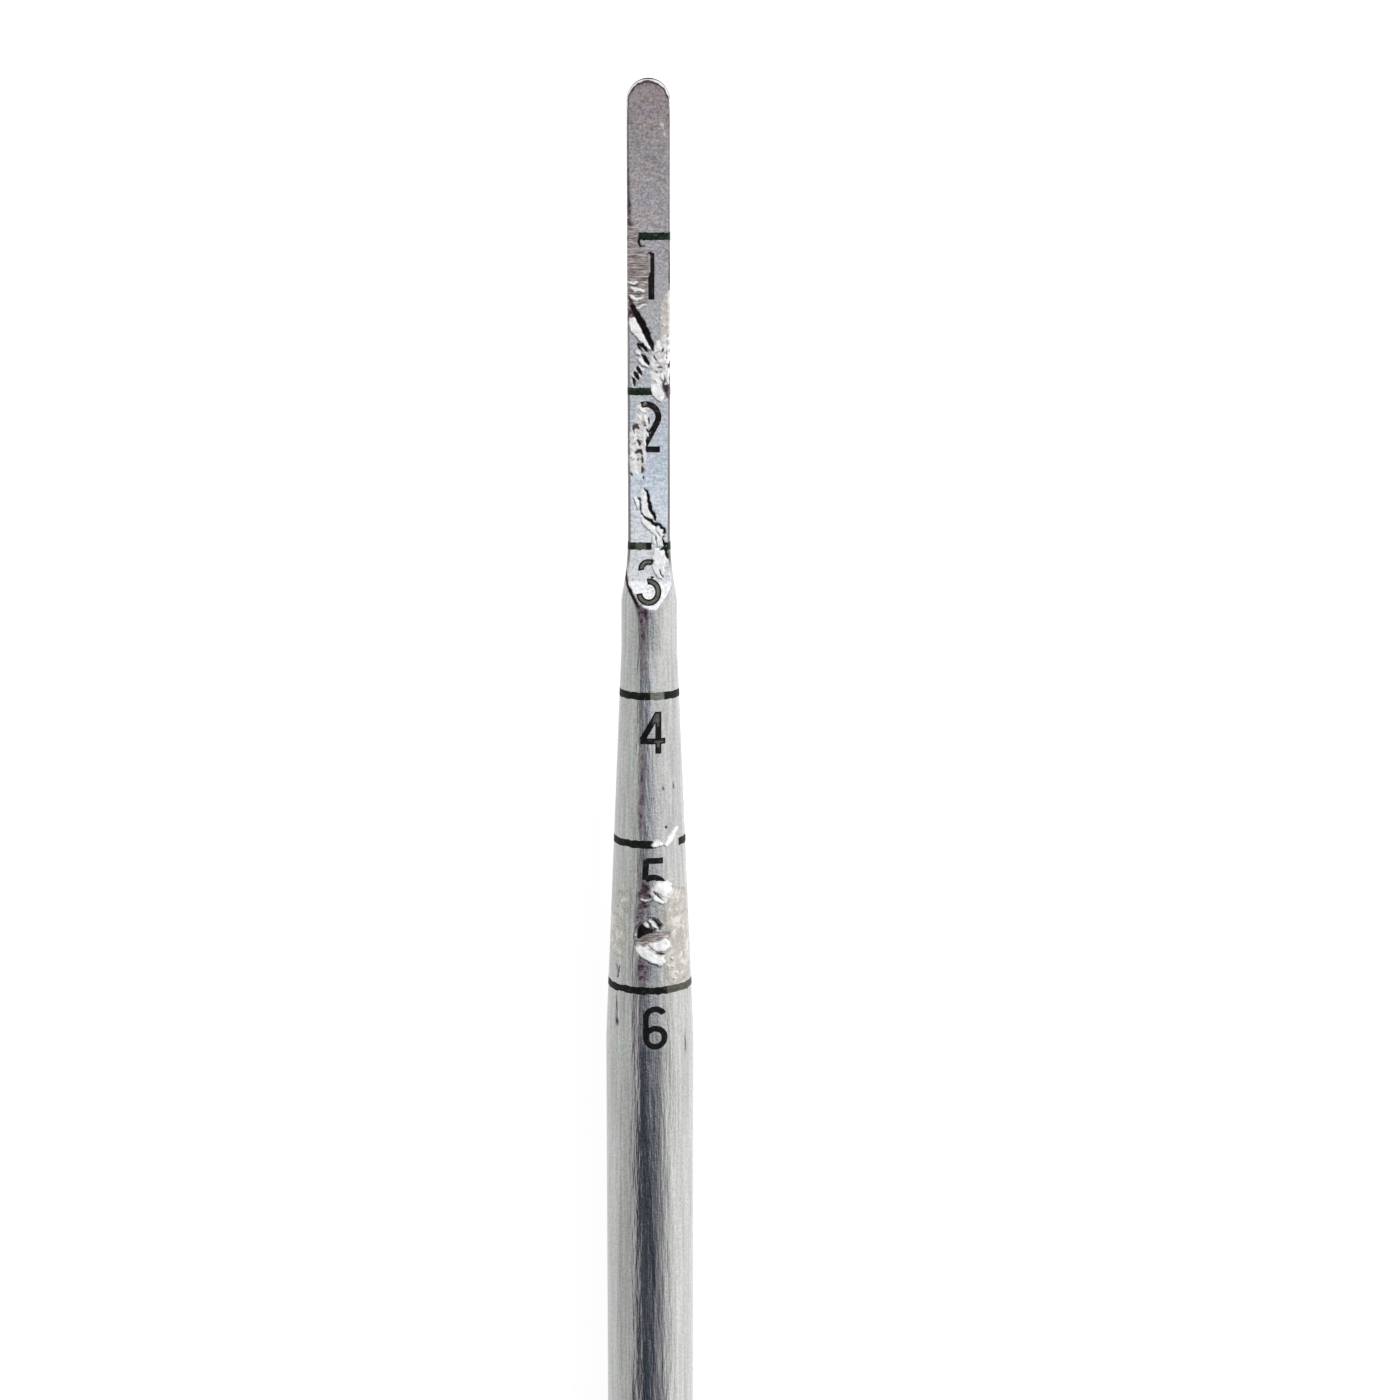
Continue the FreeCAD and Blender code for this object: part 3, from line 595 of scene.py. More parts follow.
def build_rod():
    station = rod_stations()
    right = math.pi / 2
    halves = [(-right, right, TOP_COLUMNS), (right, 3 * right, BOTTOM_COLUMNS)]
    angle = np.concatenate([even_angles(station, *half) for half in halves], axis=1)
    rows = station[:, None]
    radius = section_radius(rows, angle)
    points = place(rows, angle, radius)

    along = np.gradient(points, axis=0)
    around = np.roll(points, -1, axis=1) - np.roll(points, 1, axis=1)
    normal = np.cross(along, around)
    normal /= np.maximum(np.linalg.norm(normal, axis=2, keepdims=True), 1e-9)
    outward = np.stack([np.sin(angle), np.zeros_like(angle), np.cos(angle)], axis=-1)
    normal *= np.sign((normal * outward).sum(-1, keepdims=True))

    upper = np.cos(angle) > 0
    offset = radius * np.sin(angle)
    covers, height = wear_at(np.broadcast_to(rows, offset.shape), offset)
    height = np.where(upper, height, 0.0)
    points = points + normal * height[..., None]
    bevel = tip_bevel(rows, offset)
    points[..., 2] -= bevel * np.sign(np.cos(angle)) * np.minimum(np.abs(np.cos(angle)) * 4, 1)
    covers = {name: np.where(upper, cover, 0.0) for name, cover in covers.items()}
    covers["flat"] = flatness(rows, angle)

    tang_rows = np.array([SHANK_END, SHANK_END + 0.3, TANG_END - 0.3, TANG_END])[:, None]
    tang_radii = TANG_RADIUS - np.array([0.0, 0.0, 0.0, 0.3])[:, None]
    points = np.concatenate([points, place(tang_rows, angle[-1:], tang_radii)])
    rod = skin("rod_steel", points)

    extra = len(rod.data.vertices) - offset.size
    for name, cover in covers.items():
        store(rod.data, name, np.concatenate([cover.ravel(), np.zeros(extra)]))
    finish_piece(rod, "probe_rod")
    return rod


# ---------- the scale

# The ranges of offset, on the upper side, where a band is missing
BAND_GAPS = {1: [(-1.5, -0.64)], 2: [(0.18, 1.5)], 3: [(0.17, 1.0)], 5: [(0.35, 1.95)]}
# How far a mark sits from its even place: towards the handle, and to the right
DRIFT = {"band_3": (0.16, 0.0), "numeral_2": (-0.06, 0.0), "numeral_3": (0.10, 0.0),
         "numeral_4": (0.0, 0.05), "numeral_6": (0.0, 0.07)}
# Where the fill has worn pale: from and to in station, from and to in offset, how much
FADED = {
    "band_3": [(29.5, 30.5, -0.9, -0.2, 0.35)],
    "band_4": [(39.5, 40.6, 0.1, 1.0, 0.75)],
    "band_6": [(59.5, 60.6, 1.2, 2.9, 0.35)],
    "numeral_2": [(20.4, 21.2, -0.9, -0.14, 0.80)],
    "numeral_3": [(30.5, 34.2, -1.0, 1.0, 0.55)],
    "numeral_4": [(41.1, 42.0, 0.25, 0.70, 0.40), (43.0, 43.4, 0.35, 0.95, 0.45)],
}
FADE_SOFTNESS = 0.06
# How brown, rather than green, each dark marking looks
WARMTH = {
    "numeral_1": 1.0, "numeral_2": 0.9, "numeral_3": 0.8, "numeral_4": 0.7, "numeral_5": 0.6,
    "numeral_6": 0.7, "band_4": 0.45, "band_5": 0.4, "band_6": 0.6,
}
# How ragged a band's edges are, and the steps and the shortest stretch of a band in radians
RAGGEDNESS = {5: 0.035, 6: 0.045}
COMMON_RAGGEDNESS = 0.025
ARC_STEP = SHORTEST_ARC = 0.02
BAND_NOISE = Noise(21)


def fade_attribute(piece, node):
    """Marks how far the dark fill has worn pale."""
    coordinates = np.array([v.co for v in piece.data.vertices]) / MM
    station, offset = TIP - coordinates[:, 1], coordinates[:, 0]
    fade = np.zeros(len(station))
    for low_s, high_s, low_x, high_x, amount in FADED.get(node, []):
        outline = [low_s, low_x, low_s, high_x, high_s, high_x, high_s, low_x]
        fade = np.maximum(fade, amount * patch_cover(station, offset, outline, FADE_SOFTNESS))
    store(piece.data, "fade", fade)
    store(piece.data, "warm", np.full(len(station), WARMTH.get(node, 0.0)))


def band_middle(number):
    return BAND_STATIONS[number - 1] + DRIFT.get("band_%d" % number, (0.0, 0.0))[0]


def band_arcs(number):
    """The stretches of angle over which a band is still there."""
    station = np.array([band_middle(number)])
    angles = np.linspace(-math.pi / 2, math.pi / 2, 2001)
    offsets = section_radius(station, angles) * np.sin(angles)
    arcs, start = [], -math.pi / 2
    for low, high in BAND_GAPS.get(number, []):
        arcs.append((start, np.interp(low, offsets, angles)))
        start = np.interp(high, offsets, angles)
    arcs.append((start, math.pi * 1.5))
    if len(arcs) > 1 and arcs[0][1] > -math.pi / 2 + SHORTEST_ARC:
        first = arcs.pop(0)
        arcs[-1] = (arcs[-1][0], 2 * math.pi + first[1])
    return [arc for arc in arcs if arc[1] - arc[0] > SHORTEST_ARC]


def band_strip(number, low, high, whole):
    """One stretch of a band as a thin closed strip: four edge lines, swept along the angle."""
    middle = band_middle(number)
    count = max(int((high - low) / ARC_STEP), 4)
    angle = np.linspace(low, high, count, endpoint=not whole)
    rough = RAGGEDNESS.get(number, COMMON_RAGGEDNESS)
    seeds = (number * 7.0, number * 7.0 + 3)
    ragged = [rough * BAND_NOISE.rough(angle * 9, np.full(count, seed), 3) for seed in seeds]
    tip_side, handle_side = middle - BAND_WIDTH / 2 + ragged[0], middle + BAND_WIDTH / 2 + ragged[1]
    lines = []
    for share, sink in ((0, 1), (0, 0), (0.33, 0), (0.67, 0), (1, 0), (1, 1)):
        station = tip_side + share * (handle_side - tip_side)
        radius = section_radius(station, angle)
        offset = radius * np.sin(angle)
        worn = np.where(np.cos(angle) > 0, np.minimum(wear_at(station, offset)[1], 0), 0)
        depth = MARK_RISE + worn - sink * MARK_THICKNESS
        lines.append(place(station, angle, radius + depth))
    return np.stack(lines, axis=1)


def build_band(number):
    node = "band_%d" % number
    vertices, faces, start = [], [], 0
    arcs = band_arcs(number)
    for low, high in arcs:
        whole = len(arcs) == 1 and high - low > 2 * math.pi - 1e-6
        strip = band_strip(number, low, high, whole)
        rows, columns = strip.shape[:2]
        vertices.append(strip.reshape(-1, 3))
        faces += (skin_faces(rows, columns, whole) + start).tolist()
        if not whole:
            faces.append([start + c for c in range(columns)])
            faces.append([start + (rows - 1) * columns + c for c in reversed(range(columns))])
        start += rows * columns
    piece = make_object(node + "_fill", np.concatenate(vertices), faces)
    tidy_normals(piece, 50)
    fade_attribute(piece, node)
    finish_piece(piece, node)
    return piece


# The size of a numeral's cells, how deep its dark outline is, how far up a face of it must look
NUMERAL_CELL, OUTLINE_REACH, LEAST_UPWARD = 0.07, 0.20, 0.3


def scrape_off(mesh, node):
    """Removes the cells of a marking that lie where it has been scraped away."""
    centres = np.array([f.calc_center_median() for f in mesh.faces]) / MM
    station, offset = TIP - centres[:, 1], centres[:, 0]
    warped = station + 0.06 * WARP_X.rough(station * 6, offset * 6, 2)
    gone = np.zeros(len(station), bool)
    for outline in SCRAPED.get(node, []):
        gone |= patch_cover(warped, offset, outline, 0.02) > 0.5
    faces = [face for face, lost in zip(mesh.faces, gone) if lost]
    bmesh.ops.delete(mesh, geom=faces, context="FACES")


def outline_share(mesh):
    """1 at the outline of a flat marking, 0 well inside it."""
    places = np.array([v.co[:2] for v in mesh.verts]) / MM
    rim = np.array([[v.co[:2] for v in e.verts] for e in mesh.edges if len(e.link_faces) == 1]) / MM
    start, run = rim[:, 0], rim[:, 1] - rim[:, 0]
    along = places[:, None, :] - start[None]
    share = np.clip((along * run).sum(-1) / np.maximum((run * run).sum(-1), 1e-12), 0, 1)
    gap = np.linalg.norm(along - share[..., None] * run[None], axis=-1).min(axis=1)
    return 1 - smoothstep(0.03, OUTLINE_REACH, gap)


def build_numeral(number):
    """The CAD numeral's upper face, cut fine and laid on the worn surface."""
    node = "numeral_%d" % number
    mesh = bmesh.new()
    mesh.from_mesh(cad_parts[node].data)
    bmesh.ops.remove_doubles(mesh, verts=mesh.verts, dist=1e-7)
    mesh.normal_update()
    low_faces = [f for f in mesh.faces if f.normal.z < LEAST_UPWARD]
    bmesh.ops.delete(mesh, geom=low_faces, context="FACES")
    low, high = box_mm(node)
    for axis in (0, 1):
        direction = Vector((axis == 0, axis == 1, 0))
        for cut in np.arange(low[axis] + NUMERAL_CELL / 2, high[axis], NUMERAL_CELL):
            geometry = mesh.verts[:] + mesh.edges[:] + mesh.faces[:]
            bmesh.ops.bisect_plane(mesh, geom=geometry, plane_co=direction * cut * MM, plane_no=direction)
    onward, sideways = DRIFT.get(node, (0.0, 0.0))
    bmesh.ops.translate(mesh, verts=mesh.verts[:], vec=Vector((sideways, -onward, 0)) * MM)
    scrape_off(mesh, node)
    coordinates = np.array([v.co for v in mesh.verts]) / MM
    station, offset = TIP - coordinates[:, 1], coordinates[:, 0]
    sunk = np.minimum(wear_at(station, offset)[1], 0)
    height = AXIS_HEIGHT + top_height(station, offset) + sunk + MARK_RISE
    outline = outline_share(mesh)
    for vertex, z in zip(mesh.verts, height):
        vertex.co.z = z * MM
    data = bpy.data.meshes.new(node + "_fill")
    mesh.to_mesh(data)
    mesh.free()
    piece = link_object(node + "_fill", data)
    thick = piece.modifiers.new("thickness", "SOLIDIFY")
    thick.thickness = MARK_THICKNESS * MM
    thick.offset = -1
    fade_attribute(piece, node)
    store(data, "outline", outline)
    finish_piece(piece, node)
    return piece


# ---------- the handle

COLUMNS = 96
HANDLE_SHARP = 35  # degrees between faces from which an edge stays sharp
ROUND = np.linspace(-math.pi, math.pi, COLUMNS, endpoint=False)[None, :]


def lathe(name, profile, node, joined_ends=False):
    """A turned piece from its profile of (station, radius) corners."""
    stations, radii = np.array(profile).T[..., None]
    piece = skin(name, place(stations, ROUND, radii), joined_ends)
    tidy_normals(piece, HANDLE_SHARP)
    finish_piece(piece, node)
    return piece


def arc_points(centre, radius, low, high, count):
    angles = np.radians(np.linspace(low, high, count))
    return [(centre[0] + radius * math.cos(a), centre[1] + radius * math.sin(a)) for a in angles]


SPIGOT_RADIUS = 3.5
NOSE_FRONT_RADIUS = 3.5
RIM_RADIUS = 4.6
NOSE_COLLAR = TIP - HANDLE_HIGH[1]
NOSE_BACK = TIP - NOSE_LOW[1]
TAPER_END = NOSE_COLLAR - 2.0
CROWN = 0.10
SOFT = 0.15  # the rounding of a turned edge


def build_nose_piece():
    profile = [(SHANK_END, TANG_RADIUS), (SHANK_END, NOSE_FRONT_RADIUS - 0.25)]
    profile += arc_points((SHANK_END + 0.25, NOSE_FRONT_RADIUS - 0.25), 0.25, 180, 100, 6)
    profile += taper_curve()
    profile += [(NOSE_COLLAR - SOFT, RIM_RADIUS), (NOSE_COLLAR, RIM_RADIUS - SOFT)]
    profile += [(NOSE_COLLAR, SPIGOT_RADIUS), (NOSE_BACK, SPIGOT_RADIUS), (NOSE_BACK, TANG_RADIUS)]
    return lathe("nose_ferrule", profile, "nose_piece", True)


def taper_curve():
    """The ferrule's slightly crowned cone."""
    start, rise = SHANK_END + 0.25, RIM_RADIUS - NOSE_FRONT_RADIUS
    points = []
    for share in np.linspace(0.03, 1.0, 24):
        radius = NOSE_FRONT_RADIUS + rise * share + CROWN * math.sin(math.pi * share)
        points.append((start + (TAPER_END - start) * share, min(radius, RIM_RADIUS)))
    return points


HANDLE_START, HANDLE_END = TIP - HANDLE_HIGH[1], TIP - HANDLE_LOW[1]
HALF_FLATS = (HANDLE_HIGH[2] - HANDLE_LOW[2]) / 2
GRIP_RADIUS, GRIP_WIDTH, GRIP_PITCH, GRIP_SETBACK, GRIP_COUNT = 4.4, 0.8, 2.4, 6.0, 9
END_CHAMFER = 0.7
FLAT_SHARPNESS = 110
HANDLE_COLUMNS = 160
DOME = 4.5


def octagon_radius(angle):
    facets = np.arange(8) * math.pi / 4
    turn = np.cos(angle[..., None] - facets)
    reach = (np.clip(turn, 0, None) ** FLAT_SHARPNESS).sum(-1) ** (1 / FLAT_SHARPNESS)
    return HALF_FLATS / reach


def handle_outline():
    """Rows of (station, greatest radius) along the handle's outside."""
    free = HALF_FLATS * 1.2
    rows = [(HANDLE_START, RIM_RADIUS - 0.05), (HANDLE_START + 0.05, RIM_RADIUS + 0.02)]
    rows += [(HANDLE_START + END_CHAMFER, RIM_RADIUS + END_CHAMFER), (HANDLE_START + 1.2, free)]
    groove = [(-0.12, free), (-0.06, free), (0.0, HALF_FLATS + 0.12), (0.02, HALF_FLATS - 0.05),
              (0.06, GRIP_RADIUS + 0.06), (0.14, GRIP_RADIUS)]
    for ring in range(GRIP_COUNT):
        low = HANDLE_START + GRIP_SETBACK + ring * GRIP_PITCH
        high = low + GRIP_WIDTH
        rows += [(low - 0.7, free)] + [(low + run, radius) for run, radius in groove]
        rows += [(high - run, radius) for run, radius in reversed(groove)]
    last = rows[-1][0]
    rows += [(s, free) for s in np.linspace(last, HANDLE_END - 1.2, 18)[1:]]
    rows += [(HANDLE_END - END_CHAMFER, RIM_RADIUS + END_CHAMFER)]
    rows += [(HANDLE_END - 0.05, RIM_RADIUS + 0.02), (HANDLE_END, RIM_RADIUS - 0.05)]
    return rows


def build_handle():
    stations, limits = np.array(handle_outline()).T[..., None]
    even = np.linspace(0, 8, HANDLE_COLUMNS, endpoint=False)
    crowded = even - 0.11 * np.sin(2 * math.pi * (even + 0.5))  # towards the eight edges
    angle = (crowded + 0.5)[None, :] * math.pi / 4
    outside = place(stations, angle, smooth_min(octagon_radius(angle), limits, 0.04))
    ends = np.array([HANDLE_END, HANDLE_START])[:, None]
    inside = place(ends, angle, np.full((2, 1), SPIGOT_RADIUS))
    piece = skin("handle_shell", np.concatenate([outside, inside]), True)
    tidy_normals(piece, HANDLE_SHARP)
    finish_piece(piece, "handle_tube")
    return piece


def build_end_plug():
    inner, end = TIP - PLUG_HIGH[1], TIP - PLUG_LOW[1]
    profile = [(inner, SPIGOT_RADIUS - SOFT), (inner + SOFT, SPIGOT_RADIUS), (HANDLE_END, SPIGOT_RADIUS)]
    profile += [(HANDLE_END, RIM_RADIUS - SOFT), (HANDLE_END + SOFT, RIM_RADIUS)]
    profile += arc_points((end - DOME, RIM_RADIUS - DOME), DOME, 90, 26, 30)
    profile += [(end, 2.0 - 0.02), (end, 0.8)]
    return lathe("end_cap", profile, "end_plug")


# ---------- materials


class Nodes:
    """A short way to write a node tree. Sockets go in and come out; colours are three numbers."""

    def __init__(self, tree):
        self.tree = tree
        tree.nodes.clear()

    def add(self, kind, inputs, **settings):
        node = self.tree.nodes.new("ShaderNode" + kind)
        for name, value in settings.items():
            setattr(node, name, value)
        for name, value in inputs.items():
            socket = node.inputs[name]
            if isinstance(value, bpy.types.NodeSocket):
                self.tree.links.new(value, socket)
            else:
                socket.default_value = (*value, 1.0) if socket.type == "RGBA" else value
        return node

    def math(self, operation, first, second=0.0):
        return self.add("Math", {0: first, 1: second}, operation=operation).outputs[0]

    def times(self, first, second):
        return self.math("MULTIPLY", first, second)

    def most(self, first, *others):
        for other in others:
            first = self.math("MAXIMUM", first, other)
        return first

    def scaled(self, colour, factor):
        return self.add("VectorMath", {0: colour, "Scale": factor}, operation="SCALE").outputs[0]

    def tinted(self, colour, tint):
        return self.add("VectorMath", {0: colour, 1: tint}, operation="MULTIPLY").outputs[0]

    def mix(self, factor, first, second):
        """The second colour over the first one."""
        return self.add("Mix", {0: factor, 6: first, 7: second}, data_type="RGBA").outputs[2]

    def blend(self, factor, first, second):
        return self.add("Mix", {0: factor, 2: first, 3: second}, data_type="FLOAT").outputs[0]

    def ramp(self, factor, *stops):
        node = self.add("ValToRGB", {"Fac": factor})
        elements = node.color_ramp.elements
        while len(elements) < len(stops):
            elements.new(0.5)
        for element, (position, colour) in zip(elements, stops):
            element.position = position
            element.color = (*colour, 1.0)
        return node.outputs["Color"]

    def steps(self, value, low, high, first=0.0, last=1.0):
        """A soft step from first, at low, to last, at high."""
        inputs = {0: value, 1: low, 2: high, 3: first, 4: last}
        return self.add("MapRange", inputs, interpolation_type="SMOOTHSTEP").outputs[0]

    def place(self, stretch=(1, 1, 1)):
        """Position on the object in millimetres, each axis scaled."""
        place = self.add("TexCoord", {}).outputs["Object"]
        factors = tuple(s / MM for s in stretch)
        return self.add("Mapping", {"Vector": place, "Scale": factors}).outputs[0]

    def axis(self, name):
        return self.add("SeparateXYZ", {0: self.place()}).outputs[name]

    def noise(self, scale, detail, roughness, stretch=(1, 1, 1)):
        inputs = {"Vector": self.place(stretch), "Scale": scale, "Detail": detail, "Roughness": roughness}
        return self.add("TexNoise", inputs).outputs[0]

    def attribute(self, name):
        return self.add("Attribute", {}, attribute_name=name).outputs["Fac"]

    def bump(self, height, strength, distance, **below):
        inputs = {"Height": height, "Strength": strength, "Distance": distance * MM, **below}
        return self.add("Bump", inputs).outputs[0]

    def surface(self, inputs):
        shader = self.add("BsdfPrincipled", inputs)
        self.add("OutputMaterial", {"Surface": shader.outputs[0]})


def new_material(name):
    material = bpy.data.materials.new(name)
    material.use_nodes = True
    return material, Nodes(material.node_tree)


def grey(value):
    return (value, value, value)


def station_of(nodes):
    """Distance from the tip in millimetres."""
    return nodes.math("SUBTRACT", TIP, nodes.axis("Y"))


def rim_highlight_and_shade(nodes, station, base):
    """The tip's rounded edge: a painted highlight along it, with a dark ragged line of painted shade inside
    it and a grey one outside.
    """
    beyond = nodes.math("MINIMUM", nodes.math("SUBTRACT", station, BLADE_RADIUS), 0.0)
    x = nodes.axis("X")
    square = nodes.math("ADD", nodes.times(beyond, beyond), nodes.times(x, x))
    wobble = nodes.steps(nodes.noise(3.2, 4.0, 0.7), 0.2, 0.8, -0.08, 0.08)
    inset = nodes.math("ADD", nodes.math("SUBTRACT", BLADE_RADIUS, nodes.math("SQRT", square)), wobble)
    share = nodes.math("DIVIDE", inset, nodes.steps(station, 0.0, 2.0, 0.18, 0.06))
    # from and to in share, from and to in station, how strong, colour
    lines = [
        (2.2, 1.6, 3.6, 2.4, 0.9, (0.07, 0.045, 0.045)),
        (1.10, 0.92, 2.2, 1.4, 1.0, (0.66, 0.66, 0.655)),
        (0.48, 0.26, 3.0, 1.8, 1.0, (0.20, 0.19, 0.19)),
    ]
    for inner, outer, last, first, strength, tone in lines:
        along = nodes.steps(station, last, first, 0.0, strength)
        base = nodes.mix(nodes.times(nodes.steps(share, inner, outer), along), base, tone)
    return base


# The flats' colour: tarnish near the tip, then a painted bluish-white reflection that brightens towards the
# ramp. Share of the first 40 mm, colour
TARNISH_AND_PAINTED_SHEEN = [
    (0.0, (0.37, 0.320, 0.315)), (0.0375, (0.38, 0.332, 0.330)), (0.115, (0.415, 0.390, 0.388)),
    (0.195, (0.475, 0.445, 0.455)), (0.35, (0.555, 0.545, 0.545)), (0.50, (0.655, 0.675, 0.695)),
    (0.64, (0.76, 0.83, 0.90)), (0.69, (0.88, 0.94, 1.0)), (0.77, (0.98, 0.99, 1.0)),
    (0.85, (1.0, 1.0, 1.0)),
]
BROWN = [
    (0.32, (0.05, 0.032, 0.032)), (0.42, (0.17, 0.13, 0.125)), (0.50, (0.29, 0.245, 0.23)),
    (0.57, (0.46, 0.41, 0.39)), (0.66, (0.80, 0.74, 0.72)),
]
STAIN = [
    (0.20, (0.44, 0.43, 0.39)), (0.26, (0.24, 0.205, 0.16)), (0.32, (0.42, 0.39, 0.33)),
    (0.44, (0.56, 0.54, 0.49)), (0.49, (0.38, 0.34, 0.29)), (0.56, (0.57, 0.54, 0.49)),
    (0.75, (0.70, 0.67, 0.62)),
]
# These go by the speckle's strength
CREAM = [(0.32, (0.46, 0.40, 0.36)), (0.48, (0.62, 0.57, 0.53)), (0.62, (0.80, 0.77, 0.73))]
PURPLE = [(0.40, (0.04, 0.02, 0.035)), (0.60, (0.22, 0.15, 0.19))]
MOTTLE = [
    (0.32, (0.08, 0.06, 0.06)), (0.37, (0.42, 0.38, 0.36)), (0.44, (0.72, 0.69, 0.67)),
    (0.54, (0.96, 0.95, 0.94)),
]
SHADOW = [(0.0, (0.09, 0.06, 0.06)), (1.0, (0.09, 0.06, 0.06))]
# the flakes' near-white is a painted highlight
FLAKE_HIGHLIGHT = [(0.28, (0.50, 0.46, 0.44)), (0.40, (0.90, 0.89, 0.88)), (0.5, (1.0, 1.0, 0.99))]
# dark specks, and the painted shadows under the torn ridges
SOOT_AND_SHADOW = [(0.40, (0.022, 0.014, 0.014)), (0.62, (0.13, 0.09, 0.085))]
# painted shade in the cracks, gouges and pit
CRACK_SHADE = [(0.46, (0.002, 0.0015, 0.002)), (0.70, (0.05, 0.022, 0.028))]


def steel_with_painted_light(nodes, station, flat, streak, grain):
    """The colour of the rod without its wear, with a painted reflection along the flats, painted shade on
    the blade's rounded edges and the tip's painted highlight.
    """
    tarnish_and_painted_sheen = nodes.ramp(nodes.math("DIVIDE", station, 40.0), *TARNISH_AND_PAINTED_SHEEN)
    # on the blade the rounded side edges are painted dark: painted shade, not the steel's own colour
    on_blade = nodes.steps(station, 30.8, 32.0, 1.0, 0.0)
    turned = nodes.mix(on_blade, (0.441, 0.445, 0.436), (0.10, 0.086, 0.09))
    base = nodes.mix(flat, turned, tarnish_and_painted_sheen)
    # the grain is coarse on the tarnished tip, fine beyond, faint on the turned steel
    near_tip = nodes.steps(station, 8.0, 24.0, 1.0, 0.0)
    swing = nodes.blend(flat, 0.13, nodes.blend(near_tip, 0.23, 0.36))
    fine = nodes.math("ADD", nodes.times(nodes.steps(grain, 0.30, 0.70, -1.0, 1.0), swing), 1.0)
    base = nodes.scaled(base, nodes.times(nodes.steps(streak, 0.30, 0.72, 0.82, 1.15), fine))
    film = [(0.34, (1.0, 0.90, 0.985)), (0.50, grey(0.98)), (0.66, (0.92, 1.0, 0.94))]
    base = nodes.tinted(base, nodes.ramp(nodes.noise(4.0, 3.0, 0.7), *film))
    cloud = [(0.36, (1.03, 1.0, 0.95)), (0.50, grey(1.0)), (0.64, (0.98, 0.98, 1.03))]
    drift = nodes.ramp(nodes.noise(0.9, 3.0, 0.6), *cloud)
    base = nodes.tinted(base, nodes.mix(nodes.times(flat, near_tip), grey(1.0), drift))
    return rim_highlight_and_shade(nodes, station, base)


def worn_steel():
    """The rod: tarnished satin blade, drawn cone and shank, and all of its wear, with painted highlights on
    the flakes and painted shade in the cracks and beside the flakes.
    """
    material, nodes = new_material("worn_steel")
    flat = nodes.attribute("flat")
    across = nodes.noise(1.0, 5.0, 0.65, (1.6, 9.0, 1.6))
    along = nodes.noise(1.0, 5.0, 0.62, (4.2, 0.12, 4.2))
    streak = nodes.blend(flat, along, across)
    grain = nodes.noise(6.0, 3.0, 0.7)
    base = steel_with_painted_light(nodes, station_of(nodes), flat, streak, grain)

    lace = nodes.times(nodes.attribute("stain"), nodes.steps(nodes.noise(1.7, 5.0, 0.7), 0.25, 0.75))
    speck = nodes.noise(2.6, 5.0, 0.75)
    lateral = nodes.noise(1.0, 4.0, 0.7, (1.5, 8.5, 1.5))
    stained = nodes.times(nodes.steps(lace, 0.17, 0.24), nodes.steps(speck, 0.36, 0.5, 0.25, 0.8))
    purple = nodes.times(nodes.attribute("purple"), nodes.steps(speck, 0.62, 0.44, 0.45, 1.0))
    shadow = nodes.times(nodes.attribute("shadow"), 0.75)
    cream, mottle, brown, bright, dark, black = (
        nodes.attribute(name) for name in ("cream", "mottle", "brown", "bright", "dark", "black")
    )
    # from the lowest layer to the uppermost
    for cover, height, stops in [
        (stained, lace, STAIN), (cream, speck, CREAM), (purple, speck, PURPLE), (mottle, speck, MOTTLE),
        (nodes.times(brown, 0.92), lateral, BROWN), (shadow, speck, SHADOW),
        (bright, speck, FLAKE_HIGHLIGHT), (dark, speck, SOOT_AND_SHADOW), (black, speck, CRACK_SHADE),
    ]:
        base = nodes.mix(cover, base, nodes.ramp(height, *stops))

    dull = nodes.most(bright, mottle, cream, brown, purple, dark, black)
    rough = nodes.times(nodes.blend(flat, 0.19, 0.50), nodes.steps(streak, 0.25, 0.75, 0.80, 1.30))
    wide = nodes.noise(1.0, 4.0, 0.65, (1.0, 0.11, 1.0))
    bump = nodes.bump(grain, nodes.blend(flat, 0.85, 0.45), 0.012)
    bump = nodes.bump(streak, 0.35, 0.03, Normal=bump)
    nodes.surface({
        "Base Color": base,
        "Metallic": nodes.blend(nodes.most(dull, nodes.times(stained, 0.6)), 1.0, 0.15),
        "Specular IOR Level": 0.12,
        "Roughness": nodes.blend(dull, rough, 0.6),
        "Normal": nodes.bump(wide, nodes.blend(flat, 0.7, 0.0), 0.20, Normal=bump),
    })
    return material


# The marks' fill: green on the blade, browner where it is warm, pale where it is worn
FILL_GREEN = [
    (0.32, (0.002, 0.004, 0.002)), (0.46, (0.006, 0.014, 0.008)), (0.56, (0.016, 0.032, 0.018)),
    (0.70, (0.08, 0.10, 0.065)),
]
FILL_BROWN = [
    (0.32, (0.002, 0.001, 0.002)), (0.48, (0.007, 0.005, 0.006)), (0.58, (0.022, 0.015, 0.016)),
    (0.72, (0.12, 0.09, 0.08)),
]
FILL_PALE = [(0.30, (0.10, 0.10, 0.082)), (0.65, (0.32, 0.33, 0.27))]


def scale_fill():
    """The dark marking, patchy and dull."""
    material, nodes = new_material("scale_fill")
    patchy = nodes.noise(3.4, 4.0, 0.7)
    green, brown, pale = (nodes.ramp(patchy, *stops) for stops in (FILL_GREEN, FILL_BROWN, FILL_PALE))
    dark = nodes.mix(nodes.attribute("warm"), green, brown)
    # the cone's marks are less worn
    dark = nodes.scaled(dark, nodes.steps(station_of(nodes), 34.5, 36.0, 1.0, 0.5))
    inside = nodes.steps(nodes.attribute("outline"), 0.35, 0.75, 1.0, 0.0)
    nodes.surface({
        "Base Color": nodes.mix(nodes.times(nodes.attribute("fade"), inside), dark, pale),
        "Metallic": 0.0,
        "Specular IOR Level": 0.12,
        "Roughness": nodes.steps(patchy, 0.3, 0.7, 0.50, 0.70),
        "Normal": nodes.bump(patchy, 0.4, 0.02),
    })
    return material


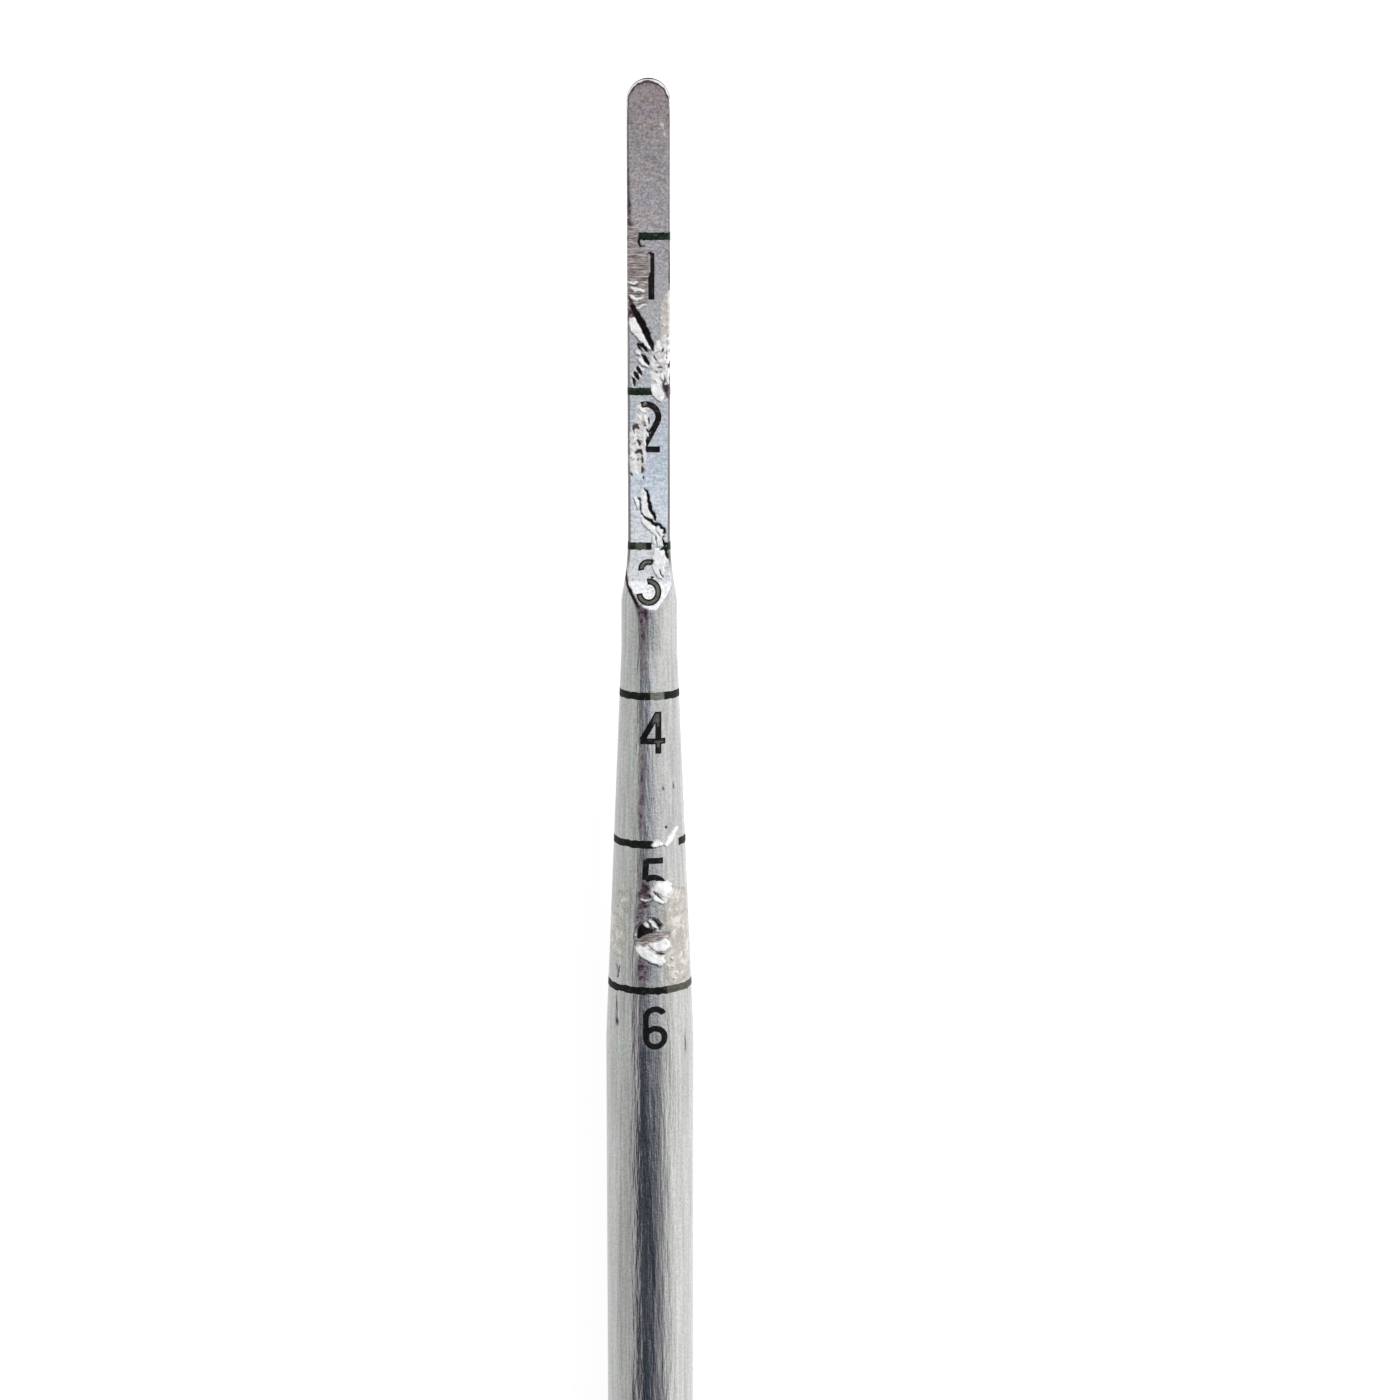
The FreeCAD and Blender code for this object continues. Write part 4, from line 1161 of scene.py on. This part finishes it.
def satin_steel(name, around):
    """Turned or drawn handle steel. The finest lines run round the tool, or along it."""
    material, nodes = new_material(name)
    lines = nodes.noise(1.0, 6.0, 0.65, (0.35, 9.0, 0.35) if around else (5.0, 0.12, 5.0))
    cloud = nodes.noise(0.35, 4.0, 0.6)
    tone = nodes.times(nodes.steps(lines, 0.3, 0.7, 0.90, 1.08), nodes.steps(cloud, 0.3, 0.7, 0.94, 1.05))
    grain = nodes.bump(nodes.noise(10.0, 2.0, 0.6), 0.2, 0.008)
    rough = nodes.times(nodes.steps(lines, 0.2, 0.8, 0.24, 0.40), nodes.steps(cloud, 0.3, 0.7, 0.85, 1.2))
    nodes.surface({
        "Base Color": nodes.scaled((0.433, 0.43, 0.426), tone),
        "Metallic": 1.0,
        "Roughness": rough,
        "Normal": nodes.bump(lines, 0.25, 0.02, Normal=grain),
    })
    return material


def paint(piece, material):
    piece.data.materials.clear()
    piece.data.materials.append(material)


def paint_cad_node(node, material):
    """A CAD node keeps its mesh and takes a better material."""
    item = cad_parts[node]
    if not item.material_slots:
        item.data.materials.append(material)
    for slot in item.material_slots:
        slot.material = material


# ---------- stage, light and camera

FLOOR_SIZE, FLOOR_DROP = 3.0, 0.02  # metres, and millimetres below the tool


def build_floor():
    """A plain white light table under the tool, brighter on its right."""
    half = FLOOR_SIZE / 2 / MM
    corners = [(x, y, -FLOOR_DROP) for x, y in ((-half, -half), (half, -half), (half, half), (-half, half))]
    floor = make_object("floor", corners, [[0, 1, 2, 3]])
    material, nodes = new_material("light_table")
    cloud = nodes.noise(1.0, 3.0, 0.55, (0.01, 0.01, 0.01))
    nodes.surface({
        "Base Color": nodes.ramp(cloud, (0.0, grey(0.24)), (1.0, grey(0.26))),
        "Roughness": 0.9,
        "Emission Color": nodes.mix(nodes.steps(nodes.axis("X"), -4.0, 4.0), grey(0.84), grey(1.20)),
        "Emission Strength": 1.0,
    })
    paint(floor, material)


# Brightness of the studio by direction: degrees from straight up, towards the right
SKY_NEAR = [
    (-180, grey(0.90)), (-125, grey(0.64)), (-100, (0.74, 0.77, 0.75)), (-80, (0.84, 0.88, 0.85)),
    (-60, (0.89, 0.93, 0.90)), (-43, (0.90, 0.92, 0.91)), (-34, (0.38, 0.33, 0.36)),
    (-22, (0.20, 0.185, 0.22)), (-12, (0.50, 0.51, 0.58)), (-4, (1.02, 1.06, 1.15)),
    (10, (1.17, 1.20, 1.24)), (28, grey(1.32)), (50, grey(1.28)), (80, grey(1.15)),
    (100, grey(0.96)), (125, grey(1.10)), (180, grey(1.0)),
]
SKY_FAR = [
    (-180, grey(0.95)), (-118, (0.93, 0.95, 0.90)), (-96, (0.88, 0.89, 0.86)), (-80, (0.70, 0.72, 0.69)),
    (-60, (0.80, 0.81, 0.79)), (-43, (0.73, 0.71, 0.73)), (-35, (0.16, 0.14, 0.165)),
    (-27, (0.025, 0.045, 0.065)), (-6, (0.025, 0.045, 0.070)), (8, (0.04, 0.055, 0.09)),
    (15, (0.24, 0.225, 0.27)), (33, (0.38, 0.38, 0.41)), (39, (0.53, 0.55, 0.55)),
    (47, (0.88, 0.89, 0.89)), (62, (1.20, 1.21, 1.18)), (80, (1.52, 1.53, 1.48)),
    (125, (1.50, 1.51, 1.46)), (180, grey(1.0)),
]


WORLD_STRENGTH = 1.1
FAR_LEAN = (0.13, 0.29)  # how much a direction leans to the handle where the far sky starts and is full


def build_world():
    """Soft light all round, with a dim gap overhead that shades towards the handle."""
    world = bpy.data.worlds.new("studio")
    bpy.context.scene.world = world
    world.use_nodes = True
    nodes = Nodes(world.node_tree)
    parts = nodes.add("SeparateXYZ", {0: nodes.add("TexCoord", {}).outputs["Generated"]}).outputs
    turn = nodes.math("ARCTAN2", parts["X"], parts["Z"])
    share = nodes.add("MapRange", {0: turn, 1: -math.pi, 2: math.pi}).outputs[0]
    near, far = (
        nodes.ramp(share, *[((angle + 180) / 360, tone) for angle, tone in sky])
        for sky in (SKY_NEAR, SKY_FAR)
    )
    light = nodes.mix(nodes.steps(nodes.times(parts["Y"], -1.0), *FAR_LEAN), near, far)
    shader = nodes.add("Background", {"Color": light, "Strength": WORLD_STRENGTH})
    nodes.add("OutputWorld", {"Surface": shader.outputs[0]})


# In millimetres and degrees. The tilt is from straight down, leaning towards the tip.
CAMERA_DISTANCE = 200.0
AIM_STATION = 40.64
CAMERA_TILT = 11.8
CAMERA_RIGHT = 3.37
CAMERA_ROLL = 0.10
FOCAL_LENGTH = 77.1


def build_camera():
    tilt = math.radians(CAMERA_TILT)
    aim = Vector((CAMERA_RIGHT, TIP - AIM_STATION, AXIS_HEIGHT))
    away = Vector((0, math.sin(tilt), math.cos(tilt)))
    up = Vector((0, math.cos(tilt), -math.sin(tilt)))
    right = up.cross(away)
    turn = Matrix.Rotation(math.radians(CAMERA_ROLL), 3, "Z")
    rotation = Matrix((right, up, away)).transposed() @ turn
    data = bpy.data.cameras.new("camera")
    data.sensor_width = 36.0
    data.lens = FOCAL_LENGTH
    data.clip_start = 0.005
    camera = bpy.data.objects.new("camera", data)
    camera.matrix_world = Matrix.Translation((aim + away * CAMERA_DISTANCE) * MM) @ rotation.to_4x4()
    bpy.context.scene.collection.objects.link(camera)
    bpy.context.scene.camera = camera


def main():
    bpy.context.scene.view_settings.view_transform = "Standard"
    build_camera()
    build_world()
    build_floor()
    paint(build_rod(), worn_steel())
    fill = scale_fill()
    for number in range(1, 7):
        paint(build_band(number), fill)
        paint(build_numeral(number), fill)
    drawn, turned = satin_steel("drawn_steel", False), satin_steel("turned_steel", True)
    paint(build_nose_piece(), turned)
    paint(build_handle(), drawn)
    paint(build_end_plug(), turned)
    paint_cad_node("cross_pin", turned)


main()
